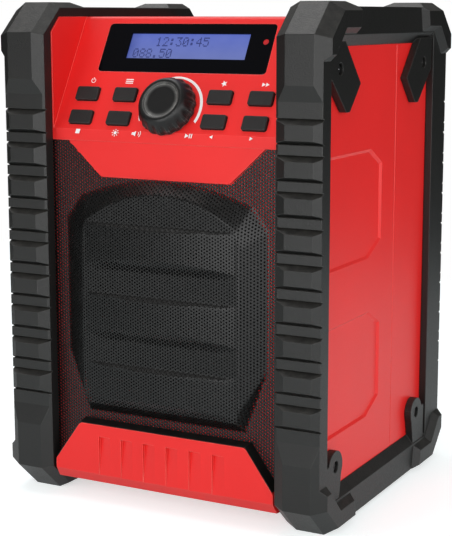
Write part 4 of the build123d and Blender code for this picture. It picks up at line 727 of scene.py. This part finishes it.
# %% Lay out the sheet
grille_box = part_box("speaker_grille")
sheet_left, sheet_right = grille_box[0][0], grille_box[1][0]
sheet_low, sheet_high = grille_box[0][2], grille_box[1][2]
cells_up = int((sheet_high - sheet_low) / hole_step) + 3
pairs_across = int((sheet_right - sheet_left) / (2.0 * column_step)) + 2


def add_array(obj, count, step):
    """An Array modifier with a fixed step that merges what touches."""
    array = obj.modifiers.new("array", "ARRAY")
    array.count = count
    array.use_relative_offset = False
    array.use_constant_offset = True
    array.constant_offset_displace = step
    array.use_merge_vertices = True
    array.merge_threshold = 0.03 * MM


add_array(grille_sheet, cells_up, (0.0, hole_step, 0.0))
add_array(grille_sheet, 2, (column_step, hole_step / 2.0, 0.0))
add_array(grille_sheet, pairs_across, (2.0 * column_step, 0.0, 0.0))
apply_modifiers(grille_sheet)
first_x = -column_step * (pairs_across - 0.5)
first_z = sheet_low - hole_step
grille_sheet.location = (first_x, first_z, 0.0)
place_in_mesh(grille_sheet)
print("cells:", cells_up * pairs_across * 2, "faces:", len(grille_sheet.data.polygons))

# %% [markdown]
# A sheet is cut with a shear, one straight line at a time. Bisect does the same to the faces that
# are selected, so only those near each line are selected first. The outline is the CAD flange's:
# a rectangle with a shallow notch at the top and one at the foot, where the two shields are.

# %% Outline of the sheet
# Each shield's right-hand corners as (x, z): its shoulder and its tip.
lower_shield = (68.0 * MM, 22.0 * MM), (51.5 * MM, 45.0 * MM)
upper_shield = (60.0 * MM, 201.4 * MM), (39.3 * MM, 182.3 * MM)
edge_play = 0.05 * MM
left, right = sheet_left + edge_play, sheet_right - edge_play
low, high = sheet_low + edge_play, sheet_high - edge_play
notch_play = 0.45 * MM
slope_play = 0.55 * MM


def notch(shoulder, tip, play, end_z):
    """The outline round a shield, from its right end to its left end."""
    right_half = [
        (shoulder[0] + slope_play, end_z),
        (shoulder[0] + slope_play, shoulder[1]),
        (tip[0] + slope_play, tip[1] + play),
    ]
    return right_half + [(-x, z) for x, z in reversed(right_half)]


foot_notch = list(reversed(notch(*lower_shield, notch_play, low - MM)))
top_notch = notch(*upper_shield, -notch_play, high + MM)
frame_lines = [
    ((left, low - MM), (left, high + MM)), ((right, low - MM), (right, high + MM)),
    ((left - MM, low), (right + MM, low)), ((left - MM, high), (right + MM, high)),
]
notch_lines = list(zip(foot_notch, foot_notch[1:])) + list(zip(top_notch, top_notch[1:]))


def inside(corners, x, y):
    """Whether a point lies inside a closed outline: count the sides it sees to its right."""
    crossed = False
    for (x1, y1), (x2, y2) in zip(corners, corners[1:] + corners[:1]):
        if (y1 > y) != (y2 > y) and x < x1 + (y - y1) / (y2 - y1) * (x2 - x1):
            crossed = not crossed
    return crossed


# %% Cut the sheet
def near_line(point, start, end, reach):
    """Whether a point lies within a reach of a straight stretch."""
    along = end - start
    share = max(0.0, min(1.0, (point - start).dot(along) / along.length_squared))
    return (start + along * share - point).length < reach


def cut_away(face):
    """Whether a face lies outside the sheet's outline or inside one of its notches."""
    x, y = face.calc_center_median()[:2]
    outside = not (left < x < right and low < y < high)
    return outside or inside(foot_notch, x, y) or inside(top_notch, x, y)


shear_reach = 1.2 * MM
edit(grille_sheet)
for start, end in frame_lines + notch_lines:
    start, end = Vector((*start, 0.0)), Vector((*end, 0.0))
    select_where(grille_sheet, "faces",
                 lambda face: near_line(face.calc_center_median(), start, end, shear_reach))
    across = (end - start).cross(Vector((0.0, 0.0, 1.0))).normalized()
    bpy.ops.mesh.bisect(plane_co=start, plane_no=across)
select_where(grille_sheet, "faces", cut_away)
bpy.ops.mesh.delete(type="FACE")
bpy.ops.object.mode_set(mode="OBJECT")
print("sheet after cutting:", len(grille_sheet.data.polygons), "faces")

# %% [markdown]
# The holes are opened up along the foot of each band and closed a little along its upper edge. A
# larger hole shows more of the dark behind the sheet, so this paints the dark shade line under each
# band, sagging in its middle, and a light highlight line along its top. The holes' corners are moved
# towards or away from the middle of their own hole while the sheet is still flat.

# %% Open and close the holes along the bands
band_feet = (58.45 * MM, 96.95 * MM, 135.45 * MM)
band_height = 22.5 * MM
band_half_length = 49.0 * MM
band_sag = 1.2 * MM
most_opened, most_closed = 0.42, 0.34
opened_from, opened_to = -1.5 * MM, 2.6 * MM
closed_from, closed_to = -2.2 * MM, 1.4 * MM


# Larger holes at a band's foot paint its dark shade line; smaller holes at its upper edge paint its
# light highlight line.
def hole_growth(x, y):
    """How much a hole at this place of the sheet grows: more at a band's foot, less at its top."""
    if abs(x) > band_half_length:
        return 1.0
    sag = band_sag * (1.0 - (x / band_half_length) ** 2)
    taper = 1.0 - (x / band_half_length) ** 4
    for foot in band_feet:
        if opened_from < y + sag - foot < opened_to:
            return 1.0 + most_opened * taper
        if closed_from < y - foot - band_height < closed_to:
            return 1.0 - most_closed * taper
    return 1.0


edit(grille_sheet)
sheet = bmesh.from_edit_mesh(grille_sheet.data)
changed = 0
for point in sheet.verts:
    column = round((point.co.x - first_x) / column_step)
    start_z = first_z + (hole_step / 2.0 if column % 2 else 0.0)
    row = round((point.co.y - start_z) / hole_step)
    middle = Vector((first_x + column * column_step, start_z + row * hole_step, 0.0))
    if (point.co - middle).length < hole_corner * 1.05:
        growth = hole_growth(middle.x, middle.y)
        point.co = middle + (point.co - middle) * growth
        changed += growth != 1.0
bmesh.update_edit_mesh(grille_sheet.data)
bpy.ops.object.mode_set(mode="OBJECT")
print("hole corners moved:", changed)

# %% [markdown]
# The flat sheet is stood up in front of the CAD grille and pressed straight back onto it. Shrinkwrap
# in Project mode moves each point along one axis until it meets the target, which is just what a
# press does to sheet metal: the holes on a slope stretch a little and the pattern stays upright. The
# form's corners are rounded, so a few points of the sheet miss it there and are trimmed off. Last,
# the open edges, of the holes and of the outline, are extruded back by the sheet's thickness.

# %% Press the sheet onto the form
grille_sheet.rotation_euler = (radians(90.0), 0.0, 0.0)
grille_sheet.location = (0.0, grille_box[0][1] - 5.0 * MM, 0.0)
place_in_mesh(grille_sheet)
press = grille_sheet.modifiers.new("press", "SHRINKWRAP")
press.target = nodes["speaker_grille"]
press.wrap_method = "PROJECT"
press.use_project_y = True
press.use_positive_direction = True
press.use_negative_direction = False
apply_modifiers(grille_sheet)

edit(grille_sheet)
select_where(grille_sheet, "verts", lambda point: point.co.y < grille_box[0][1] - 1.0 * MM)
print("points off the form, at its rounded corners:", grille_sheet.data.total_vert_sel)
bpy.ops.mesh.delete(type="VERT")

# %% Give the sheet its thickness
sheet_thickness = 0.85 * MM
bpy.ops.mesh.select_mode(type="EDGE")
bpy.ops.mesh.select_all(action="DESELECT")
bpy.ops.mesh.select_non_manifold(
    extend=False, use_wire=False, use_boundary=True, use_multi_face=False, use_non_contiguous=False,
    use_verts=False)
bpy.ops.mesh.extrude_edges_move(TRANSFORM_OT_translate={"value": (0.0, sheet_thickness, 0.0)})
only(grille_sheet)
bpy.ops.object.shade_smooth_by_angle(angle=radians(40.0))
grille_sheet.data.materials.append(finishes["grille_black"])
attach(grille_sheet, "housing")
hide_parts("speaker_grille")
triangles = sum(len(p.vertices) - 2 for p in grille_sheet.data.polygons)
print("grille triangles:", triangles)

# %% [markdown]
# ## A black strip over the lower shield
#
# The lower shield stands seven millimetres in front of the grille's edge. A black strip lies on the
# shield's shoulder and covers its top face, so that the grille's black reaches down to the shield's
# front edge; the strip also stands in for the dark shade line between grille and shield, painted
# shade in black. It is four points in a row along the shield's outline, extruded in depth and
# thickened by a Solidify modifier. The shield's sides have a mould draft, so the strip's rear row
# lies a millimetre further out.

# %% The black strip
# The black strip is partly painted shade: it stands in for the dark line at the grille's foot.
strip_front, strip_back = -85.7 * MM, -79.0 * MM
strip_end = (67.14 * MM, 23.2 * MM)
front_lift, rear_lift = 0.16 * MM, 1.12 * MM
# How far the strip's end and its tip move outwards for each millimetre of lift.
end_shift, tip_shift = 1.23, 0.513


def strip_row(lift, y):
    """Four points along the shield's shoulder, lifted off its outline by a distance."""
    tip_x, tip_z = lower_shield[1][0] + tip_shift * lift, lower_shield[1][1] + lift
    end_x, end_z = strip_end[0] + end_shift * lift, strip_end[1]
    right_half = [Vector((tip_x, y, tip_z)), Vector((end_x, y, end_z))]
    return [Vector((-point.x, y, point.z)) for point in reversed(right_half)] + right_half


deselect_all()
bpy.ops.mesh.primitive_circle_add(vertices=4, radius=MM)
grille_foot_strip = bpy.context.object
grille_foot_strip.name = "grille_foot_strip"
edit(grille_foot_strip, "EDGE")
select_where(grille_foot_strip, "edges", lambda edge: {point.index for point in edge.verts} == {0, 3})
bpy.ops.mesh.delete(type="EDGE")
strip = bmesh.from_edit_mesh(grille_foot_strip.data)
for point, place in zip(strip.verts, strip_row(front_lift, strip_front)):
    point.co = place
bmesh.update_edit_mesh(grille_foot_strip.data)
bpy.ops.mesh.select_all(action="SELECT")
bpy.ops.mesh.extrude_edges_move(TRANSFORM_OT_translate={"value": (0.0, strip_back - strip_front, 0.0)})
strip = bmesh.from_edit_mesh(grille_foot_strip.data)
rear_row = sorted((point for point in strip.verts if point.select), key=lambda point: point.co.x)
for point, place in zip(rear_row, strip_row(rear_lift, strip_back)):
    point.co = place
bmesh.update_edit_mesh(grille_foot_strip.data)
bpy.ops.object.mode_set(mode="OBJECT")
thicken = grille_foot_strip.modifiers.new("thicken", "SOLIDIFY")
thicken.thickness = 0.3 * MM
faces_up = sum(face.normal.z for face in grille_foot_strip.data.polygons) > 0.0
thicken.offset = 1.0 if faces_up else -1.0
apply_modifiers(grille_foot_strip)
edit(grille_foot_strip)
face_outwards()
grille_foot_strip.data.materials.append(finishes["grille_black"])
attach(grille_foot_strip, "housing")
print("hem, mm:", [round(size / MM, 1) for size in grille_foot_strip.dimensions])

# %% [markdown]
# ## The knob
#
# The turning knob is the piece that fingers find first, so it deserves real geometry: a low skirt
# with scallops for grip, a tapering side, a rounded shoulder and a shallow dish on top. It is a
# turned shape, and the by-hand way is to start from a circle with enough corners for the scallops
# and raise it ring by ring: extrude, then scale. The scallops are pressed in afterwards: eight
# columns of points make one scallop, and each is pulled towards the axis, less further up.

# %% The knob's turned body
panel_origin = Vector((0.0, -80.2 * MM, 207.5 * MM))
panel_lean = radians(90.0 - 29.9)
panel_up = Vector((0.0, cos(panel_lean), sin(panel_lean)))
panel_out = Vector((0.0, -sin(panel_lean), cos(panel_lean)))
knob_up = 13.95 * MM
knob_radius = 16.3 * MM
knob_rim = 3.0 * MM
scallops = 18
columns = 8
around = scallops * columns
side_rings = [
    (0.8, 16.2), (1.2, 16.3), (2.6, 16.3), (3.8, 16.25), (4.9, 15.75), (6.0, 15.2), (7.1, 14.6),
    (8.2, 13.95), (9.2, 13.3), (9.75, 12.85), (10.2, 12.3), (10.42, 11.95), (10.5, 11.6),
    (10.5, 10.25), (10.38, 10.05), (9.95, 9.8), (9.8, 9.6),
]


def ring_up(first, second):
    """Extrude the selected ring from one (height, radius) to the next, about the axis."""
    rise = (0.0, 0.0, (second[0] - first[0]) * MM)
    bpy.ops.mesh.extrude_edges_move(TRANSFORM_OT_translate={"value": rise})
    factor = second[1] / first[1]
    bpy.ops.transform.resize(value=(factor, factor, 1.0), center_override=(0.0, 0.0, second[0] * MM))


deselect_all()
bpy.ops.mesh.primitive_circle_add(
    vertices=around, radius=side_rings[0][1] * MM, location=(0.0, 0.0, side_rings[0][0] * MM))
fine_knob = bpy.context.object
fine_knob.name = "fine_knob"
place_in_mesh(fine_knob)
edit(fine_knob, "EDGE")
bpy.ops.mesh.select_all(action="SELECT")
for first, second in zip(side_rings, side_rings[1:]):
    ring_up(first, second)
bpy.ops.mesh.edge_face_add()
bpy.ops.mesh.inset(thickness=knob_rim)
print("knob points:", len(bmesh.from_edit_mesh(fine_knob.data).verts))

# %% [markdown]
# Underneath, the knob is hollow: a wide recess clears the nut on the panel and a bore takes the
# shaft. Both come from the bottom ring in the same way, scaled inward and then extruded up.

# %% The knob's underside
shaft_bore = 3.02
under_rings = [(0.8, 16.2), (0.8, 8.0), (4.6, 8.0), (4.6, shaft_bore), (8.6, shaft_bore)]
knob_foot = under_rings[0][0] * MM
bpy.ops.mesh.select_mode(type="VERT")
select_where(fine_knob, "verts", lambda point: abs(point.co.z - knob_foot) < 0.001 * MM)
bmesh.from_edit_mesh(fine_knob.data).select_flush(True)
for first, second in zip(under_rings, under_rings[1:]):
    ring_up(first, second)
bpy.ops.mesh.edge_face_add()

# %% Scallops
innermost_side = 12.0 * MM


def direction_of(point):
    """The direction of a point seen from the axis, 0 to a full turn."""
    return atan2(point.y, point.x) % (2.0 * pi)


def pull_in(height, column, depth):
    """Pull the side's points at one height and in one column of every scallop towards the axis."""
    def chosen(point):
        on_side = point.co.xy.length > innermost_side and abs(point.co.z - height) < 0.01 * MM
        return on_side and round(direction_of(point.co) / (2.0 * pi) * around) % columns == column

    select_where(fine_knob, "verts", chosen)
    factor = 1.0 - depth / knob_radius
    bpy.ops.transform.resize(value=(factor, factor, 1.0), center_override=(0.0, 0.0, height))


scallop_depths = {0.8: 0.5, 1.2: 0.7, 2.6: 0.95, 3.8: 1.0, 4.9: 0.9, 6.0: 0.65, 7.1: 0.35, 8.2: 0.1}
column_shares = {0: 1.0, 1: 0.86, 7: 0.86, 2: 0.45, 6: 0.45, 3: 0.06, 5: 0.06}
for height, depth in scallop_depths.items():
    for column, share in column_shares.items():
        pull_in(height * MM, column, depth * share * MM)
face_outwards()

# %% [markdown]
# The knob was raised straight up from the origin. Leaning it back with the panel and moving it to
# its shaft is one turn about the X axis and one move, both then placed in the mesh.

# %% Place the knob
def put_on_panel(obj, right, up, lift):
    """Lean an object with the panel and place it at a point of the panel."""
    obj.rotation_euler = (panel_lean, 0.0, 0.0)
    obj.location = panel_origin + Vector((right, 0.0, 0.0)) + panel_up * up + panel_out * lift
    place_in_mesh(obj)


put_on_panel(fine_knob, 0.0, knob_up, 0.0)
only(fine_knob)
bpy.ops.object.shade_smooth_by_angle(angle=radians(38.0))
fine_knob.data.materials.append(finishes["knob_black"])
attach(fine_knob, "knob")
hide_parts("knob")
knob_box = fine_knob.bound_box[0], fine_knob.bound_box[6]
for name, box in (("knob", knob_box), ("CAD knob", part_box("knob"))):
    print(name, "box:", [[round(v, 4) for v in corner] for corner in box])

# %% [markdown]
# ## Printed marks
#
# The white marks are pad printed: a soft silicone pad lifts wet ink from an etched plate and rolls
# it onto the panel. The ink stands only a few hundredths of a millimetre proud. The symbols are the
# plain ones that any radio may use. Each begins as a circle with few corners: three make an arrow,
# four a bar, ten a star once every second corner is pulled in.

# %% Printed shapes
tree, shader = new_finish("ink_white", 0.45, 0.4)
ink_speckle = noise(tree, 1500.0, 3.0, 0.6)
coloured(tree, shader, "Base Color", ink_speckle, colour(226, 220, 218), colour(246, 243, 242))
tree.links.new(spread(tree, ink_speckle, 0.2, 0.8, 0.38, 0.55), shader.inputs["Roughness"])
ink_height = 0.03 * MM
printed = []


def shape(corners, radius, right, up, wide=1.0, high=1.0, turn=0.0):
    """A flat printed shape: a filled circle with few corners, stretched and placed."""
    deselect_all()
    bpy.ops.mesh.primitive_circle_add(vertices=corners, radius=radius * MM, fill_type="NGON")
    mark = bpy.context.object
    mark.name = "printed_mark"
    mark.rotation_euler = (0.0, 0.0, turn)
    place_in_mesh(mark)
    mark.scale = (wide, high, 1.0)
    mark.location = (right * MM, up * MM, 0.0)
    place_in_mesh(mark)
    printed.append(mark)
    return mark


def bar(right, up, wide, high):
    """A rectangle: four corners turned by an eighth of a turn."""
    return shape(4, sqrt(0.5), right, up, wide, high, pi / 4.0)


def arrow(right, up, size, way=1.0):
    """A triangle that points right, or left."""
    return shape(3, size, right, up, way, 1.0, -pi / 2.0)


def arc(right, up, outer, inner, inner_right, start, end, steps=72):
    """A curved line between two circles, from one angle to another, as one strip of faces."""
    deselect_all()
    bpy.ops.mesh.primitive_circle_add(
        vertices=steps, radius=outer * MM, location=(right * MM, up * MM, 0.0))
    mark = bpy.context.object
    mark.name = "printed_arc"
    place_in_mesh(mark)
    edit(mark)
    bpy.ops.mesh.primitive_circle_add(
        vertices=steps, radius=inner * MM, location=(inner_right * MM, up * MM, 0.0))
    middle = Vector(((right + inner_right) / 2.0 * MM, up * MM, 0.0))
    span = (end - start) % (2.0 * pi)
    select_where(mark, "verts",
                 lambda point: (direction_of(point.co - middle) - start) % (2.0 * pi) > span)
    bpy.ops.mesh.delete(type="VERT")
    bpy.ops.mesh.select_all(action="SELECT")
    bpy.ops.mesh.bridge_edge_loops()
    bpy.ops.object.mode_set(mode="OBJECT")
    printed.append(mark)


# %% [markdown]
# The long curve round the knob tells the hand which way is louder: it begins as a hairline at the
# left and swells to the right.

# %% Lay out the marks
arc(0.85, 13.95, 18.85, 17.75, 0.30, radians(-25.0), radians(206.0), 144)

upper_row, lower_row = 29.3, -1.3
power_x, menu_x, preset_x = -52.0, -28.9, 28.9
arc(power_x, upper_row, 1.45, 1.08, power_x, radians(120.0), radians(60.0), 36)
bar(power_x, upper_row + 1.05, 0.4, 1.6)
for drop in (-1.1, 0.0, 1.1):
    bar(menu_x, upper_row + drop, 4.6, 0.55)
star = shape(10, 1.9, preset_x, upper_row, turn=pi / 10.0)
arrow(51.7, upper_row, 1.35)
arrow(53.9, upper_row, 1.35)

bar(-52.8, lower_row, 2.6, 2.6)
shape(16, 0.9, menu_x, lower_row)
rays, ray_reach = 8, 1.75
for step in range(rays):
    way = step * 2.0 * pi / rays
    ray = bar(0.0, 0.0, 0.9, 0.38)
    ray.rotation_euler = (0.0, 0.0, way)
    right, up = menu_x + ray_reach * cos(way), lower_row + ray_reach * sin(way)
    ray.location = (right * MM, up * MM, 0.0)
    place_in_mesh(ray)
arrow(-17.0, lower_row, 1.75, -1.0)
bar(-18.0, lower_row, 1.1, 1.4)
for radius in (1.7, 2.8):
    arc(-16.0, lower_row, radius + 0.2, radius - 0.2, -16.0, radians(-45.0), radians(45.0), 32)
arrow(14.6, lower_row, 1.5)
for right in (16.6, 17.8):
    bar(right, lower_row, 0.6, 2.5)
arrow(29.5, lower_row, 1.25, -1.0)
arrow(52.2, lower_row, 1.25)

# %% [markdown]
# The star's every second corner goes in. Then all marks are joined, given the thickness of the ink
# and laid on the panel.

# %% Finish the marks
edit(star)
select_where(star, "verts", lambda point: point.index % 2 == 1)
star_middle = (preset_x * MM, upper_row * MM, 0.0)
star_waist = 0.45
bpy.ops.transform.resize(value=(star_waist, star_waist, 1.0), center_override=star_middle)

panel_marks = join(printed)
panel_marks.name = "panel_marks"
edit(panel_marks, "FACE")
bpy.ops.mesh.select_all(action="SELECT")
bpy.ops.mesh.extrude_region_move(TRANSFORM_OT_translate={"value": (0.0, 0.0, ink_height)})
face_outwards()
put_on_panel(panel_marks, 0.0, 0.0, 0.0)
panel_marks.data.materials.append(finishes["ink_white"])
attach(panel_marks, "housing")
print("printed marks:", len(printed), "faces:", len(panel_marks.data.polygons))

# %% [markdown]
# ## What the display shows
#
# A character display has a block of five by seven dots for each character, with a gap of one dot
# to the next. Liquid crystal dots are dark where they block the light behind them. One dot is
# modelled and copied to each filled place of a digit's pattern; every line is then joined and laid
# a hair above the screen, below the lens. The lines show a time and a frequency.

# %% Display ink and one dot
tree, shader = new_finish("crystal_dark", 0.5, 0.1)
crystal_tone = noise(tree, 400.0, 2.0)
coloured(tree, shader, "Base Color", crystal_tone, colour(30, 36, 78), colour(42, 50, 96))
coloured(tree, shader, "Emission Color", crystal_tone, colour(40, 48, 98), colour(52, 60, 112))
shader.inputs["Emission Strength"].default_value = 0.4
screen = nodes["lcd_screen"]
screen_height = max(
    (screen.matrix_world @ point.co - panel_origin).dot(panel_out) for point in screen.data.vertices)
dot_across, dot_up = 0.69 * MM, 0.80 * MM
dot_share = 0.9
deselect_all()
bpy.ops.mesh.primitive_plane_add(size=1.0)
one_dot = bpy.context.object
one_dot.scale = (dot_share * dot_across, dot_share * dot_up, 1.0)
place_in_mesh(one_dot)
print("screen above the panel plane, mm:", round(screen_height / MM, 3))

# %% Display digits
dots_of = {
    "0": "01110 10001 10011 10101 11001 10001 01110",
    "1": "00100 01100 00100 00100 00100 00100 01110",
    "2": "01110 10001 00001 00010 00100 01000 11111",
    "3": "11111 00010 00100 00010 00001 10001 01110",
    "4": "00010 00110 01010 10010 11111 00010 00010",
    "5": "11111 10000 11110 00001 00001 10001 01110",
    "8": "01110 10001 10001 01110 10001 10001 01110",
    ":": "00000 01100 01100 00000 01100 01100 00000",
    ".": "00000 00000 00000 00000 00000 01100 01100",
}
columns_to_next, last_row = 6, 6
above_screen = 0.02 * MM


def digits(name, text, right, up):
    """A line of characters on the display, from copies of one dot."""
    dots = []
    for place, character in enumerate(text):
        for row, pattern in enumerate(dots_of[character].split()):
            for column, filled in enumerate(pattern):
                if filled == "1":
                    dot = bpy.data.objects.new(name, one_dot.data.copy())
                    scene.collection.objects.link(dot)
                    step = place * columns_to_next + column
                    dot.location = (step * dot_across, (last_row - row) * dot_up, 0.0)
                    dots.append(dot)
    line = join(dots)
    place_in_mesh(line)
    put_on_panel(line, right * MM, up * MM, screen_height + above_screen)
    line.data.materials.append(finishes["crystal_dark"])
    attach(line, "housing")
    print(name, "dots:", len(line.data.polygons))


digits("clock_digits", "12:30:45", -19.4, 51.6)
digits("channel_digits", "088.50", -32.2, 44.6)
bpy.data.objects.remove(one_dot)

# %% [markdown]
# ## Frame screws
#
# Eight screws hold the frames, each at the foot of a deep recess. A cross recess is forged into the
# head. It is the one place here where a boolean is the plain way: two crossed bars, narrower at
# their foot, are cut out of a domed head. One screw is modelled upright and copied; each copy is
# turned to its own side of the radio and gets its own mesh.

# %% One frame screw
deselect_all()
head_radius, head_height = 2.68 * MM, 1.78 * MM
dome = 0.7 * MM
bpy.ops.mesh.primitive_cylinder_add(
    vertices=32, radius=head_radius, depth=head_height, location=(0.0, 0.0, head_height / 2.0))
frame_screw = bpy.context.object
frame_screw.name = "frame_screw_1"
place_in_mesh(frame_screw)
edit(frame_screw, "FACE")
select_where(frame_screw, "faces", lambda face: face.normal.z > 0.9)
bpy.ops.mesh.bevel(offset=dome, segments=3, profile=0.5)

cross_length, cross_width, cutter_height = 3.0 * MM, 0.72 * MM, 2.2 * MM
cutter_middle = 1.9 * MM
deselect_all()
bpy.ops.mesh.primitive_cube_add(size=1.0)
cutter = bpy.context.object
cutter.scale = (cross_length, cross_width, cutter_height)
cutter.location = (0.0, 0.0, cutter_middle)
place_in_mesh(cutter)
edit(cutter)
select_where(cutter, "verts", lambda point: point.co.z < cutter_middle)
bpy.ops.transform.resize(value=(0.45, 0.7, 1.0), center_override=(0.0, 0.0, 0.0))
for turn in (0.0, pi / 2.0):
    cutter.rotation_euler = (0.0, 0.0, turn)
    place_in_mesh(cutter)
    cut = frame_screw.modifiers.new("cross", "BOOLEAN")
    cut.operation = "DIFFERENCE"
    cut.solver = "EXACT"
    cut.object = cutter
    apply_modifiers(frame_screw)
bpy.data.objects.remove(cutter)
print("screw head faces:", len(frame_screw.data.polygons))

# %% [markdown]
# The shank is a plain cylinder; its thread bites into the housing and never shows.

# %% Shank and copies
deselect_all()
shank_radius, shank_length = 1.25 * MM, 9.4 * MM
bpy.ops.mesh.primitive_cylinder_add(
    vertices=16, radius=shank_radius, depth=shank_length, location=(0.0, 0.0, -shank_length / 2.0))
shank = bpy.context.object
place_in_mesh(shank)
join([frame_screw, shank])
only(frame_screw)
bpy.ops.object.shade_smooth_by_angle(angle=radians(35.0))
frame_screw.data.materials.append(finishes["screw_steel"])
screw_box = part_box("frame_screws")
cad_head_radius, seat_depth = 2.7 * MM, 1.8 * MM
seat_x = screw_box[1][0] - seat_depth
middle_y, middle_z = ((screw_box[0][axis] + screw_box[1][axis]) / 2.0 for axis in (1, 2))
reach_y, reach_z = (
    (screw_box[1][axis] - screw_box[0][axis]) / 2.0 - cad_head_radius for axis in (1, 2))
screws = []
for side, front, top in product((-1.0, 1.0), repeat=3):
    only(frame_screw)
    bpy.ops.object.duplicate()
    copy = bpy.context.object
    copy.rotation_euler = (0.0, side * pi / 2.0, 0.0)
    copy.location = (side * seat_x, middle_y + front * reach_y, middle_z + top * reach_z)
    place_in_mesh(copy)
    screws.append(copy)
bpy.data.objects.remove(frame_screw)
for index, screw in enumerate(screws):
    screw.name = "frame_screw_" + str(index + 1)
    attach(screw, "housing")
    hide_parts("frame_screws")
print("frame screws:", len(screws))
